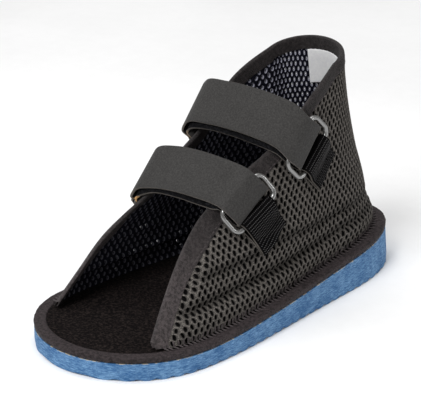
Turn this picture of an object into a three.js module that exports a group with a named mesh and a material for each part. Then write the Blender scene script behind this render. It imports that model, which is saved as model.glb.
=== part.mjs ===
// Open-toe cast shoe: a wedge foam sole, a footbed with a taped rim, one wall of spacer mesh with a
// taped free edge, and two instep straps that loop through rectangular rings on webbing tabs.
// Millimetres, +Z up. The toe points along -Y, the heel along +Y, and the rings are on the +X side.

import * as THREE from 'three';
import { LoftGeometry } from 'three/addons/geometries/LoftGeometry.js';

const { clamp, degToRad, lerp, smoothstep } = THREE.MathUtils;

// Driving dimensions
const SOLE_LENGTH = 285;
const SOLE_TOE_HEIGHT = 11.5;
const SOLE_HEEL_HEIGHT = 26;
const WEDGE_START = 0.23;
const WEDGE_POWER = 1.3;
const SOLE_SIDE_INSET = 0.2;
const SOLE_EDGE_BEVEL = 0.5;
const SOLE_FLARE = 2;
const SOLE_FLARE_Y = 0;
const SOLE_FLARE_RUN = 90;
const OUTLINE_STEPS = 160;
const PLATE_STEPS = 40;
const GAP = 0.3;

const RIM_WIDTH = 8;
const RIM_THICK = 3.6;
const RIM_ROUND = 1.1;
const RIM_STEPS = 84;
const FOOTBED_THICK = 3.2;

const WALL_INSET = 9.6;
const WALL_THICK = 2.8;
const WALL_FRONT_Y = - 108;
const EDGE_TAPE_WIDTH = 9;
const EDGE_TAPE_CLIMB = 1.3;
const EDGE_TAPE_THICK = 3.4;
const EDGE_TAPE_CROWN = 0.15;
const FOLD_FADE = 14;
const FLAT_FRONT = 8;
const FLAT_FRONT_RUN = 20;
const WALL_FRONT_CUT = 2;
const WALL_LOWEST = 4;
const WALL_STEPPED = 6;
const WALL_FEEL = 2;
const SIDE_STEPS = 25;
const HEEL_STEPS = 14;

const COLLAR_Y = 72;
const COLLAR_DEPTH = 24;
const COLLAR_RISE = 7;

const RING_LONG = 38;
const RING_SHORT = 18;
const RING_CORNER = 5;
const RING_BAR = 3.4;
const RING_BULGE = 0.4;
const RING_SIDES = 8;
const RING_CORNER_STEPS = 4;

const STRAP_WIDTH = 31;
const STRAP_THICK = 1.6;
const STRAP_LIFT = 2.4;
const STRAP_LAYER = STRAP_THICK + GAP;
const STRAP_LOOP = RING_BAR + STRAP_LAYER + GAP;
const STRAP_CLEAR = 3.6;
const STRAP_PARTED = RING_SHORT / 2 + STRAP_CLEAR;
const STRAP_TAIL = 28;
const STRAP_TAIL_LAYER = 2.5;
const STRAP_SETTLE = 8;
const STRAP_STEPS = 84;
const STRAP_TURN_STEPS = 5;
const STRAP_WIDTH_STEPS = 3;
const RING_LIFT = STRAP_LIFT + STRAP_LOOP / 2;
const RING_FEEL = 12;

const TAB_WIDTH = 27;
const TAB_THICK = 1.5;
const TAB_LENGTH = 23;
const TAB_SLACK = 0.4;
const TAB_SETTLE = 14;
const TAB_SHARES = [ 1, 0.82, 0.66, 0.52, 0.4, 0.28 ];
const TAB_TURN_STEPS = 6;
const TAB_WIDTH_STEPS = 5;

const LABEL_WIDTH = 31;
const LABEL_HEIGHT = 24;
const LABEL_THICK = 0.6;
const LABEL_STEPS = 8;
const LABEL_ROWS = 3;

// Fullness of the sole outline: half width at a fraction of the length, before the ends are rounded off
const SOLE_ROWS = [
	{ at: 0, half: 98 },
	{ at: 0.12, half: 87.5 },
	{ at: 0.3, half: 69.5 },
	{ at: 0.5, half: 57.5 },
	{ at: 0.7, half: 53 },
	{ at: 0.88, half: 58.5 },
	{ at: 1, half: 66 },
];

// Free edge of the wall along the shoe: half opening and height at a station Y
const EDGE_ROWS = [
	{ at: WALL_FRONT_Y, half: 45, height: 17 },
	{ at: - 92, half: 39.5, height: 38 },
	{ at: - 76, half: 35, height: 57 },
	{ at: - 60, half: 30, height: 70.5 },
	{ at: - 44, half: 26.5, height: 80.5 },
	{ at: - 22, half: 27.5, height: 92.5 },
	{ at: - 8, half: 30, height: 102 },
	{ at: 6, half: 31.5, height: 109 },
	{ at: 26, half: 34, height: 123 },
	{ at: 40, half: 35, height: 135.5 },
	{ at: 54, half: 33.5, height: 144 },
	{ at: COLLAR_Y, half: 29, height: 153 },
];

// Swell of the wall at a height above the footbed: bottom roll, valley fold, ridge fold and upper wall
const FOLD_ROWS = [
	{ at: 0, toe: 0, instep: 0, heel: 0 },
	{ at: 6, toe: 2.8, instep: 2.6, heel: 1.5 },
	{ at: 12.5, toe: 4.6, instep: 4, heel: 2 },
	{ at: 16.5, toe: 1.4, instep: - 0.2, heel: - 0.2 },
	{ at: 21, toe: 3, instep: 1.2, heel: - 0.3 },
	{ at: 37, toe: 8, instep: 5.4, heel: - 0.4 },
	{ at: 44, toe: 7.2, instep: 4.2, heel: - 0.8 },
	{ at: 60, toe: 6, instep: 2.6, heel: - 2 },
	{ at: 95, toe: 3, instep: 1, heel: - 2 },
	{ at: 140, toe: 0, instep: 0, heel: 0 },
];
const FOLD_TOE_Y = - 70;
const FOLD_INSTEP_Y = - 10;
const FOLD_HEEL_Y = 72;

// Heights, in mm and then as shares of what is left, at which a wall section has a point
const WALL_LEVELS = [ 0, 4, 8, 12.5, 16.5, 21, 29, 37 ];
const WALL_SHARES = [ 0.2, 0.4, 0.7, 1 ];

// Straps: place and lie of ring, fold and far end, crossing of the near edge, arch of the top layer,
// and the drop from there to the lower layer
const STRAPS = [
	{
		name: 'front',
		ring: { y: - 17, z: 82.7, rise: 30 },
		fold: { down: 3.4, rise: 36 },
		cross: { y: - 26, out: 2.2, up: 5.9, drop: 3.4 },
		far: { y: - 38, rise: 48 },
		arch: [
			{ x: - 19, y: - 35, z: 98, drop: 3.2 },
			{ x: 0, y: - 33, z: 99.7, drop: 3.6 },
			{ x: 19, y: - 30, z: 98.7, drop: 4.2 },
		],
		bend: { out: 9.8, shoulder: 4, up: 11, drop: 4.2 },
	},
	{
		name: 'rear',
		ring: { y: 33, z: 108.7, rise: 44 },
		fold: { down: 1.6, rise: 49 },
		cross: { y: 20, out: 1.5, up: 6.4, drop: 3.8 },
		far: { y: 13, rise: 52 },
		arch: [
			{ x: - 20, y: 13, z: 129.5, drop: 3.8 },
			{ x: 0, y: 14, z: 130.2, drop: 4 },
			{ x: 20, y: 15.5, z: 129.2, drop: 4.4 },
		],
		bend: { out: 9.8, shoulder: 5, up: 13, drop: 4.3 },
	},
];

// Smooth value of one column of a table at a given place
function along( rows, at, column ) {

	let i = 0;
	while ( i < rows.length - 2 && at > rows[ i + 1 ].at ) i ++;
	const slope = ( j ) => {

		const before = rows[ Math.max( j - 1, 0 ) ];
		const after = rows[ Math.min( j + 1, rows.length - 1 ) ];
		return ( after[ column ] - before[ column ] ) / ( after.at - before.at );

	};

	const span = rows[ i + 1 ].at - rows[ i ].at;
	const t = clamp( ( at - rows[ i ].at ) / span, 0, 1 );
	const rise = t * t * ( 3 - 2 * t );
	const lean = span * t * ( 1 - t );
	return lerp( rows[ i ][ column ], rows[ i + 1 ][ column ], rise )
		+ lean * ( ( 1 - t ) * slope( i ) - t * slope( i + 1 ) );

}

// Outline of the sole, moved in by a distance, at a turn of 0 at the toe, PI at the heel and back
function outlinePoint( turn, inset ) {

	const at = ( angle ) => {

		const s = ( 1 - Math.cos( angle ) ) / 2;
		return new THREE.Vector2( Math.sin( angle ) * along( SOLE_ROWS, s, 'half' ), SOLE_LENGTH * ( s - 0.5 ) );

	};

	const run = at( turn + 0.01 ).sub( at( turn - 0.01 ) ).normalize();
	return at( turn ).add( new THREE.Vector2( - run.y, run.x ).multiplyScalar( inset ) );

}

// Half outline from toe to heel on the +X side
function halfOutline( inset ) {

	const turns = Array.from( { length: OUTLINE_STEPS + 1 }, ( _, i ) => Math.PI * i / OUTLINE_STEPS );
	return turns.map( ( turn ) => outlinePoint( turn, inset ) );

}

// Half width of an outline at a station Y
function halfAt( points, y ) {

	const last = points.length - 1;
	if ( y <= points[ 0 ].y ) return points[ 0 ].x;
	if ( y >= points[ last ].y ) return points[ last ].x;
	const i = points.findIndex( ( p ) => p.y > y );
	const share = ( y - points[ i - 1 ].y ) / ( points[ i ].y - points[ i - 1 ].y );
	return lerp( points[ i - 1 ].x, points[ i ].x, share );

}

// Height of the top of the foam sole: level at the toe, rising to the heel
function soleTop( y ) {

	const s = y / SOLE_LENGTH + 0.5;
	const rise = clamp( ( s - WEDGE_START ) / ( 1 - WEDGE_START ), 0, 1 ) ** WEDGE_POWER;
	return lerp( SOLE_TOE_HEIGHT, SOLE_HEEL_HEIGHT, rise );

}

// Height at which the wall stands on the rim
function wallFloor( y ) {

	return soleTop( y ) + GAP + RIM_THICK + GAP;

}

const group = new THREE.Group();

// One named closed solid through a row of sections, or a closed ring of them
function addLoft( name, sections, finish, ring = false ) {

	const rows = ring ? [ ...sections, sections[ 0 ] ] : sections;
	const geometry = new LoftGeometry( rows, { closed: true, capStart: ! ring, capEnd: ! ring } );
	const mesh = new THREE.Mesh( geometry, new THREE.MeshStandardMaterial( finish ) );
	mesh.name = name;
	group.add( mesh );

}

// A plate over an outline: cross sections from toe to heel, each with its bottom and top corners
function addPlate( name, points, bottom, top, bevel, flare, finish ) {

	const front = points[ 0 ].y;
	const back = points[ points.length - 1 ].y;
	const sections = [];
	for ( let i = 1; i < PLATE_STEPS; i ++ ) {

		const y = lerp( front, back, ( 1 - Math.cos( Math.PI * i / PLATE_STEPS ) ) / 2 );
		const half = halfAt( points, y );
		const side = half + flare( y );
		const foot = Math.max( side - bevel, side / 2 );
		const right = [
			new THREE.Vector3( half, y, top( y ) ),
			new THREE.Vector3( side, y, bottom( y ) + bevel ),
			new THREE.Vector3( foot, y, bottom( y ) ),
		];
		if ( bevel === 0 ) right.splice( 1, 1 );
		const left = right.map( ( p ) => new THREE.Vector3( - p.x, p.y, p.z ) ).reverse();
		sections.push( [ ...left, ...right ] );

	}

	addLoft( name, sections, finish );

}

// Foam sole
addPlate(
	'outsole',
	halfOutline( SOLE_SIDE_INSET ),
	() => 0,
	soleTop,
	SOLE_EDGE_BEVEL,
	( y ) => SOLE_FLARE * smoothstep( y, SOLE_FLARE_Y, SOLE_FLARE_Y + SOLE_FLARE_RUN ),
	{ color: 0x3d78b4, roughness: 0.8, metalness: 0 },
);

// Felt footbed inside the taped rim
addPlate(
	'insole',
	halfOutline( RIM_WIDTH + GAP ),
	( y ) => soleTop( y ) + GAP,
	( y ) => soleTop( y ) + GAP + FOOTBED_THICK,
	0,
	() => 0,
	{ color: 0x14100f, roughness: 0.98, metalness: 0 },
);

// Tape round the rim of the footbed
function addRim() {

	const profile = [
		{ inset: RIM_WIDTH, z: 0 },
		{ inset: RIM_WIDTH, z: RIM_THICK },
		{ inset: RIM_ROUND, z: RIM_THICK },
		{ inset: 0, z: RIM_THICK - RIM_ROUND },
		{ inset: 0, z: RIM_ROUND / 2 },
		{ inset: RIM_ROUND / 2, z: 0 },
	];
	const sections = [];
	for ( let i = 0; i < RIM_STEPS; i ++ ) {

		sections.push( profile.map( ( corner ) => {

			const { x, y } = outlinePoint( 2 * Math.PI * i / RIM_STEPS, corner.inset );
			return new THREE.Vector3( x, y, soleTop( y ) + GAP + corner.z );

		} ) );

	}

	addLoft( 'rim_binding', sections, { color: 0x2b2524, roughness: 0.8, metalness: 0 }, true );

}

addRim();

// Rulings of the wall: each stands on the footbed, ends at the free edge and has an outward direction
const wallLine = halfOutline( WALL_INSET );
const heelLine = wallLine.filter( ( p ) => p.y >= COLLAR_Y );

function sideRuling( y, side ) {

	return {
		base: new THREE.Vector3( side * halfAt( wallLine, y ), y, wallFloor( y ) ),
		edge: new THREE.Vector3( side * along( EDGE_ROWS, y, 'half' ), y, along( EDGE_ROWS, y, 'height' ) ),
		out: new THREE.Vector3( side, 0, 0 ),
	};

}

function heelRuling( turn ) {

	const side = Math.sign( Math.cos( turn ) ) || 1;
	const share = 1 - Math.abs( turn / ( Math.PI / 2 ) - 1 );
	const path = new THREE.Path( heelLine );
	const foot = path.getPointAt( share );
	const collar = EDGE_ROWS[ EDGE_ROWS.length - 1 ];
	return {
		base: new THREE.Vector3( side * foot.x, foot.y, wallFloor( foot.y ) ),
		edge: new THREE.Vector3(
			collar.half * Math.cos( turn ),
			COLLAR_Y + COLLAR_DEPTH * Math.sin( turn ),
			collar.height + COLLAR_RISE * Math.sin( turn ),
		),
		out: new THREE.Vector3( Math.cos( turn ), Math.sin( turn ), 0 ),
	};

}

// Swell of a ruling at a height above its foot, gone at the free edge and under its tape near the toe
function swell( ruling, height, full ) {

	const y = ruling.base.y;
	const toe = along( FOLD_ROWS, height, 'toe' );
	const instep = along( FOLD_ROWS, height, 'instep' );
	const heel = along( FOLD_ROWS, height, 'heel' );
	const front = lerp( toe, instep, smoothstep( y, FOLD_TOE_Y, FOLD_INSTEP_Y ) );
	const value = lerp( front, heel, smoothstep( y, FOLD_INSTEP_Y, FOLD_HEEL_Y ) );
	const flat = FLAT_FRONT * ( 1 - smoothstep( y, FOLD_TOE_Y, FOLD_TOE_Y + FLAT_FRONT_RUN ) );
	return value * smoothstep( full - height, flat, flat + FOLD_FADE );

}

// Point of the wall on a ruling at a height above its foot, at a depth in from its outer face
function wallPoint( ruling, height, depth = 0 ) {

	const full = ruling.edge.z - ruling.base.z;
	const point = ruling.base.clone().lerp( ruling.edge, height / full );
	return point.addScaledVector( ruling.out, swell( ruling, height, full ) - depth );

}

// Height at which the edge tape begins on a ruling, measured across the tape
function tapeStart( ruling ) {

	const full = ruling.edge.z - ruling.base.z;
	const ahead = along( EDGE_ROWS, ruling.edge.y + 1, 'height' );
	const behind = along( EDGE_ROWS, ruling.edge.y - 1, 'height' );
	const climb = ruling.edge.y < COLLAR_Y ? Math.hypot( ( ahead - behind ) / 2, 1 ) : 1;
	return full - EDGE_TAPE_WIDTH * Math.min( climb, EDGE_TAPE_CLIMB );

}

// Rulings from the near front end, round the heel, to the far front end
function wallRulings() {

	const near = [];
	const far = [];
	for ( let i = 0; i < SIDE_STEPS; i ++ ) {

		const y = lerp( WALL_FRONT_Y + WALL_FRONT_CUT, COLLAR_Y, i / SIDE_STEPS );
		near.push( sideRuling( y, 1 ) );
		far.unshift( sideRuling( y, - 1 ) );

	}

	const heel = [];
	for ( let i = 0; i <= HEEL_STEPS; i ++ ) heel.push( heelRuling( Math.PI * i / HEEL_STEPS ) );
	return [ ...near, ...heel, ...far ];

}

// A closed section between two rows of heights: up the inner face and down the outer face
function wallSection( ruling, heights, thick ) {

	const inner = heights.map( ( h ) => wallPoint( ruling, h, thick ) );
	const outer = heights.map( ( h ) => wallPoint( ruling, h ) );
	return [ ...inner, ...outer.reverse() ];

}

// Mesh wall, from the rim up to the edge tape
function addUpper() {

	const top = WALL_LEVELS[ WALL_LEVELS.length - 1 ];
	const count = WALL_LEVELS.length + WALL_SHARES.length;
	const sections = [];
	for ( const ruling of wallRulings() ) {

		const full = tapeStart( ruling ) - GAP;
		if ( full < WALL_LOWEST ) continue;
		const even = Array.from( { length: count }, ( _, i ) => full * i / ( count - 1 ) );
		const stepped = [ ...WALL_LEVELS, ...WALL_SHARES.map( ( share ) => lerp( top, full, share ) ) ];
		sections.push( wallSection( ruling, full > top + WALL_STEPPED ? stepped : even, WALL_THICK ) );

	}

	addLoft( 'upper', sections, { color: 0x3a3a35, roughness: 0.85, metalness: 0 } );

}

addUpper();

// Tape folded over the free edge, from one front end round the collar to the other
function addEdgeTape() {

	const sections = [];
	for ( const ruling of wallRulings() ) {

		const full = ruling.edge.z - ruling.base.z;
		const low = Math.max( tapeStart( ruling ), 0 );
		const proud = ( EDGE_TAPE_THICK - WALL_THICK ) / 2;
		const heights = [ low, ( low + full ) / 2, full - EDGE_TAPE_THICK / 3 ];
		const crowns = [ 0, EDGE_TAPE_CROWN, 0 ];
		const inner = heights.map( ( h, i ) => wallPoint( ruling, h, EDGE_TAPE_THICK - proud + crowns[ i ] ) );
		const crest = wallPoint( ruling, full, WALL_THICK / 2 );
		const outer = heights.map( ( h, i ) => wallPoint( ruling, h, - proud - crowns[ i ] ) ).reverse();
		sections.push( [ ...inner, crest, ...outer ] );

	}

	addLoft( 'collar_binding', sections, { color: 0x2e2a29, roughness: 0.75, metalness: 0 } );

}

addEdgeTape();

// Point off the side wall at a station and a height, with the wall's outward normal there
function offWall( y, z, side, lift, reach = WALL_FEEL ) {

	const at = ( sy, sz ) => {

		const ruling = sideRuling( sy, side );
		return wallPoint( ruling, Math.min( sz, ruling.edge.z ) - ruling.base.z );

	};

	const ahead = at( y + reach, z ).sub( at( y - reach, z ) );
	const up = at( y, z ).sub( at( y, z - reach ) );
	const normal = ahead.cross( up ).multiplyScalar( side ).normalize();
	return { point: at( y, z ).addScaledVector( normal, lift ), normal };

}

// Frame on the near wall: along the shoe at a rise, down the wall and out from it
function nearFrame( { y, z, rise } ) {

	const { point, normal } = offWall( y, z, 1, 0, RING_FEEL );
	const level = new THREE.Vector3( 0, Math.cos( degToRad( rise ) ), Math.sin( degToRad( rise ) ) );
	const across = level.addScaledVector( normal, - level.dot( normal ) ).normalize();
	const down = across.clone().cross( normal );
	return { point, normal, across, down };

}

// Strap point moved out where it lies on the far wall, so that it follows the wall at a given lift
function settleOnFarWall( point, lift ) {

	const { edge } = sideRuling( point.y, - 1 );
	const below = edge.z - point.z;
	if ( below < 0 || point.x > 0 ) return point;
	const laid = offWall( point.y, point.z, - 1, lift ).point;
	const settled = point.clone().lerp( laid, smoothstep( below, 0, STRAP_SETTLE ) );
	return settled.x > laid.x ? laid : settled;

}

// Centre line of a strap: up the far wall, across the instep, round the ring's upper bar and back on top
function strapCurve( { ring, fold, cross, far, arch, bend } ) {

	const frame = nearFrame( { ...ring, rise: fold.rise } );
	const near = ( down, lift ) => frame.point.clone()
		.addScaledVector( frame.down, down )
		.addScaledVector( frame.normal, lift );
	const farRise = degToRad( far.rise );
	const farEdge = sideRuling( far.y, - 1 ).edge;
	const nearEdge = sideRuling( cross.y, 1 ).edge;
	const tail = ( run, lift ) => offWall(
		far.y + run * Math.sin( farRise ),
		farEdge.z - run * Math.cos( farRise ),
		- 1,
		lift,
	).point;

	const layerPoints = ( lower, lift ) => {

		const out = lower * bend.drop - bend.out;
		return [
			tail( STRAP_TAIL, lift ),
			tail( STRAP_TAIL / 2, lift ),
			farEdge.clone().add( new THREE.Vector3( out, 0, bend.shoulder ) ),
			farEdge.clone().add( new THREE.Vector3( out / 2, 0, bend.up - lower * bend.drop ) ),
			...arch.map( ( p ) => new THREE.Vector3( p.x, p.y, p.z - lower * p.drop ) ),
			nearEdge.clone().add( new THREE.Vector3( cross.out, 0, cross.up - lower * cross.drop ) ),
		];

	};

	const turn = [];
	for ( let i = 0; i <= STRAP_TURN_STEPS; i ++ ) {

		const angle = Math.PI * ( i / STRAP_TURN_STEPS - 0.5 );
		const down = fold.down + STRAP_LOOP / 2 * ( Math.cos( angle ) - 1 );
		turn.push( near( down, RING_LIFT + STRAP_LOOP / 2 * Math.sin( angle ) ) );

	}

	return new THREE.CatmullRomCurve3( [
		...layerPoints( 1, STRAP_LIFT ),
		near( - STRAP_PARTED, STRAP_LIFT ),
		...turn,
		near( - STRAP_PARTED, STRAP_LIFT + STRAP_LOOP ),
		...layerPoints( 0, STRAP_LIFT + STRAP_TAIL_LAYER ).reverse(),
	], false, 'centripetal' );

}

// Strap: one length of soft tape, both layers, with a width that turns from the far rise to the near rise
function addStrap( strap ) {

	const points = strapCurve( strap ).getSpacedPoints( STRAP_STEPS );
	const { point: nearPoint, across: nearWidth } = nearFrame( { ...strap.ring, rise: strap.fold.rise } );
	const farRise = degToRad( strap.far.rise );
	const farWidth = new THREE.Vector3( 0, Math.cos( farRise ), Math.sin( farRise ) );
	const farX = sideRuling( strap.far.y, - 1 ).edge.x;
	const last = points.length - 1;
	const sections = points.map( ( p, i ) => {

		const run = points[ Math.min( i + 1, last ) ].clone().sub( points[ Math.max( i - 1, 0 ) ] );
		const share = clamp( ( p.x - farX ) / ( nearPoint.x - farX ), 0, 1 );
		const across = farWidth.clone().lerp( nearWidth, share ).normalize();
		const face = run.cross( across ).normalize();
		const outward = i < last / 2 ? 1 : - 1;
		const layerLift = outward > 0 ? STRAP_LIFT : STRAP_LIFT + STRAP_TAIL_LAYER;
		const faces = [ - 1, 1 ].map( ( sign ) => {

			const lift = layerLift + sign * outward * STRAP_THICK / 2;
			const row = [];
			for ( let k = 0; k <= STRAP_WIDTH_STEPS; k ++ ) {

				const corner = p.clone()
					.addScaledVector( across, STRAP_WIDTH * ( k / STRAP_WIDTH_STEPS - 0.5 ) )
					.addScaledVector( face, sign * STRAP_THICK / 2 );
				row.push( settleOnFarWall( corner, lift ) );

			}

			return row;

		} );
		return [ ...faces[ 0 ], ...faces[ 1 ].reverse() ];

	} );
	addLoft( `strap_${ strap.name }`, sections, { color: 0x474744, roughness: 0.9, metalness: 0 } );

}

// Ring: a rectangle of round bar with round corners and fuller short bars, flat against the near wall
function addRing( { name, ring } ) {

	const frame = nearFrame( ring );
	const centre = frame.point.clone().addScaledVector( frame.normal, RING_LIFT );
	const sections = [];
	const addSection = ( a, d, angle, radius ) => {

		const middle = centre.clone().addScaledVector( frame.across, a ).addScaledVector( frame.down, d );
		const radial = frame.across.clone().multiplyScalar( Math.cos( angle ) )
			.addScaledVector( frame.down, Math.sin( angle ) );
		const section = [];
		for ( let k = 0; k < RING_SIDES; k ++ ) {

			const round = 2 * Math.PI * k / RING_SIDES;
			section.push( middle.clone()
				.addScaledVector( radial, radius * Math.cos( round ) )
				.addScaledVector( frame.normal, radius * Math.sin( round ) ) );

		}

		sections.push( section );

	};

	for ( let corner = 0; corner < 4; corner ++ ) {

		const signAcross = corner === 0 || corner === 3 ? 1 : - 1;
		const signDown = corner < 2 ? 1 : - 1;
		for ( let i = 0; i <= RING_CORNER_STEPS; i ++ ) {

			const angle = Math.PI / 2 * ( corner + i / RING_CORNER_STEPS );
			const a = signAcross * ( RING_LONG / 2 - RING_CORNER ) + RING_CORNER * Math.cos( angle );
			const d = signDown * ( RING_SHORT / 2 - RING_CORNER ) + RING_CORNER * Math.sin( angle );
			addSection( a, d, angle, RING_BAR / 2 );

		}

		const atShortBar = corner % 2 === 1;
		const barAngle = Math.PI / 2 * ( corner + 1 );
		if ( atShortBar ) addSection( signAcross * RING_LONG / 2, 0, barAngle, RING_BAR / 2 + RING_BULGE );

	}

	addLoft( `ring_${ name }`, sections, { color: 0x4a4a48, roughness: 0.35, metalness: 0.1 }, true );

}

// Tab: webbing folded round the ring's lower bar, both layers lying on the wall below it
function addTab( { name, ring } ) {

	const frame = nearFrame( ring );
	const layer = TAB_THICK + GAP;
	const wrap = RING_BAR / 2 + GAP + TAB_SLACK + TAB_THICK / 2;
	const wallLift = GAP + TAB_SLACK + TAB_THICK / 2;
	const route = [];
	const laidDown = TAB_SHARES.map( ( share ) => share * TAB_LENGTH );
	const lieDown = ( down, start, end ) => lerp( start, end, smoothstep( down, 0, TAB_SETTLE ) );
	for ( const down of laidDown ) route.push( { down, lift: lieDown( down, RING_LIFT - wrap, wallLift ) } );
	for ( let i = 0; i <= TAB_TURN_STEPS; i ++ ) {

		const angle = Math.PI * ( i / TAB_TURN_STEPS );
		route.push( { down: - wrap * Math.sin( angle ), lift: RING_LIFT - wrap * Math.cos( angle ) } );

	}

	for ( const down of laidDown.reverse() ) {

		route.push( { down, lift: lieDown( down, RING_LIFT + wrap, wallLift + layer ) } );

	}

	const place = ( across, down, lift ) => {

		const flat = frame.point.clone()
			.addScaledVector( frame.across, across )
			.addScaledVector( frame.down, RING_SHORT / 2 + down );
		const laid = offWall( flat.y, flat.z, 1, lift ).point;
		flat.addScaledVector( frame.normal, lift );
		return flat.lerp( laid, smoothstep( down, 0, TAB_SETTLE ) );

	};

	const sections = route.map( ( p, k ) => {

		const next = route[ Math.min( k + 1, route.length - 1 ) ];
		const before = route[ Math.max( k - 1, 0 ) ];
		const run = new THREE.Vector2( next.down - before.down, next.lift - before.lift ).normalize();
		const faces = [ - 1, 1 ].map( ( sign ) => {

			const down = p.down - sign * run.y * TAB_THICK / 2;
			const lift = p.lift + sign * run.x * TAB_THICK / 2;
			const face = [];
			for ( let i = 0; i <= TAB_WIDTH_STEPS; i ++ ) {

				face.push( place( TAB_WIDTH * ( i / TAB_WIDTH_STEPS - 0.5 ), down, lift ) );

			}

			return face;

		} );
		return [ ...faces[ 0 ], ...faces[ 1 ].reverse() ];

	} );
	addLoft( `tab_${ name }`, sections, { color: 0x17171a, roughness: 0.9, metalness: 0 } );

}

for ( const strap of STRAPS ) {

	addStrap( strap );
	addRing( strap );
	addTab( strap );

}

// Blank label sewn inside the heel, under the edge tape
function addLabel() {

	const radius = EDGE_ROWS[ EDGE_ROWS.length - 1 ].half;
	const halfTurn = LABEL_WIDTH / 2 / radius;
	const depth = WALL_THICK + GAP;
	const sections = [];
	for ( let i = 0; i <= LABEL_STEPS; i ++ ) {

		const ruling = heelRuling( Math.PI / 2 + halfTurn * ( 2 * i / LABEL_STEPS - 1 ) );
		const top = tapeStart( ruling ) - GAP;
		const shares = Array.from( { length: LABEL_ROWS + 1 }, ( _, k ) => 1 - k / LABEL_ROWS );
		const heights = shares.map( ( share ) => top - LABEL_HEIGHT * share );
		const outer = heights.map( ( h ) => wallPoint( ruling, h, depth ) ).reverse();
		const inner = heights.map( ( h ) => wallPoint( ruling, h, depth + LABEL_THICK ) );
		sections.push( [ ...inner, ...outer ] );

	}

	addLoft( 'label', sections, { color: 0xd9d9e2, roughness: 0.5, metalness: 0 } );

}

addLabel();

export default group;
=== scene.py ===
import math

import bpy
import numpy as np
from bpy.props import FloatProperty, FloatVectorProperty, PointerProperty
from mathutils import Matrix, Vector


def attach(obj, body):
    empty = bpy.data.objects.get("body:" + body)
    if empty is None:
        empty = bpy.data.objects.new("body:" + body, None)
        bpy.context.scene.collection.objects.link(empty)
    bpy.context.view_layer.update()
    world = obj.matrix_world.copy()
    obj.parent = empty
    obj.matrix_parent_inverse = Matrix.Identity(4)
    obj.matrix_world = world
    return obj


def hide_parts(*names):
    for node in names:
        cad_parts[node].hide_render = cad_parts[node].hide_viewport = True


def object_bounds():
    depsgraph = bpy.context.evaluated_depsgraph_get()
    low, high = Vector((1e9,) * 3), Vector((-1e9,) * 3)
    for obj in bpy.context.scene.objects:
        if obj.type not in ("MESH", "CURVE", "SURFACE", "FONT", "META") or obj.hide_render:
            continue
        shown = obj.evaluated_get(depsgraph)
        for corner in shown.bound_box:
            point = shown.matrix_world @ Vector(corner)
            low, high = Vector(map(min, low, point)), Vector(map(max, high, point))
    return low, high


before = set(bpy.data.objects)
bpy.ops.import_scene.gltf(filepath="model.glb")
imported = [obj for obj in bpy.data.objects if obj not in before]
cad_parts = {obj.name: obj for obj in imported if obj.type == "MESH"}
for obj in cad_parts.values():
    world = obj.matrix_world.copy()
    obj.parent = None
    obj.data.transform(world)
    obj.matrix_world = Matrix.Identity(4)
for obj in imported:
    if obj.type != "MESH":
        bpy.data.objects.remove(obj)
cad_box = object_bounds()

bl_info = {
    "name": "Cast shoe",
    "version": (1, 0, 0),
    "blender": (4, 5, 0),
    "location": "View3D > Sidebar > Cast shoe",
    "description": "Dresses the solids of an open-toe cast shoe with foam, spacer mesh, tape and straps",
    "category": "Object",
}

# Units and places: the shapes below are worked out in millimetres, with the toe along -Y
MM = 0.001
SOLE_LENGTH = (cad_box[1][1] - cad_box[0][1]) / MM

# Sole and footbed
SOLE_TOE_HEIGHT = 11.5
SOLE_HEEL_HEIGHT = 26
WEDGE_START = 0.23
WEDGE_POWER = 1.3
SOLE_INSET = 0.2
SOLE_BEVEL = 0.5
SOLE_FLARE = 2
SOLE_FLARE_Y = 0
SOLE_FLARE_RUN = 90
GAP = 0.3
RIM_WIDTH = 8
RIM_THICK = 3.6
RIM_SQUARE = 4.5
RIM_DIP = 0.15
FOOTBED_THICK = 3.2
FELT_SINK = 0.4
TREAD_POWER = 1.5
GLUE_POWER = 12
OUTLINE_STEPS = 160
PLATE_ACROSS = 13
PLATE_LEVELS = 6
PLATE_LOW = 0.3
SOLE_STATIONS = 420
FOOTBED_STATIONS = 120

# Wall and its edge tape
WALL_INSET = 9.6
WALL_THICK = 2.8
WALL_FRONT = -106
EDGE_TAPE_WIDTH = 9
EDGE_TAPE_CLIMB = 1.3
EDGE_TAPE_THICK = 3.4
TAPE_LOWEST = 0.4
TAPE_LIP = 0.4
TAPE_FOLD = 0.2
TAPE_CLEAR = 0.6
TAPE_FLAT = 0.1
# Painted shade on the edge tape: none ahead of the first station, full from the second one back.
UNSHADED_Y = -90
SHADED_Y = -45
FOLD_FADE = 14
FLAT_FRONT = 8
FLAT_FRONT_RUN = 20
WALL_FEEL = 2
COLLAR_Y = 72
COLLAR_DEPTH = 24
COLLAR_RISE = 7
SIDE_RUN = COLLAR_Y - WALL_FRONT
HEEL_RUN = 130
WALL_RUN = 2 * SIDE_RUN + HEEL_RUN
WALL_CLIMB = 190
TABLE_STEP = 1.0

# Net of the mesh: its limits on the wall, how it is squeezed under the tape, and the heights over which
# painted light through its holes grows brighter
STRAND_PROUD = 0.3
HOLE_UNEVEN = 0.09
HOLE_SLANT = 0.14
HOLE_SHIFT = 0.12
NET_END = 0.6
NET_FOOT = 0.05
NET_TOP = 2
NET_EDGE = 2.5
NET_UNDER_TAPE = 3
NET_SQUEEZE = 0.5
NET_SQUEEZE_START = 1.6
NET_SQUEEZE_END = 0.4
BACKLIT_LOW = 60
BACKLIT_HIGH = 105

# Corners of a mesh cell, in quarter pitches and sixth rows, and the levels of a hole from the outer face in
CELL_CORNERS = [(0, 4), (2, 2), (2, 0), (2, -2), (0, -4), (-2, -2), (-2, 0), (-2, 2)]
HOLE_LEVELS = [
    {"wide": 1.2, "tall": 1.12, "depth": 0.05},
    {"wide": 1.0, "tall": 1.0, "depth": 0.6},
    {"wide": 0.27, "tall": 0.31, "depth": 1.7},
    {"wide": 0.9, "tall": 0.95, "depth": 2.4},
]

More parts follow.
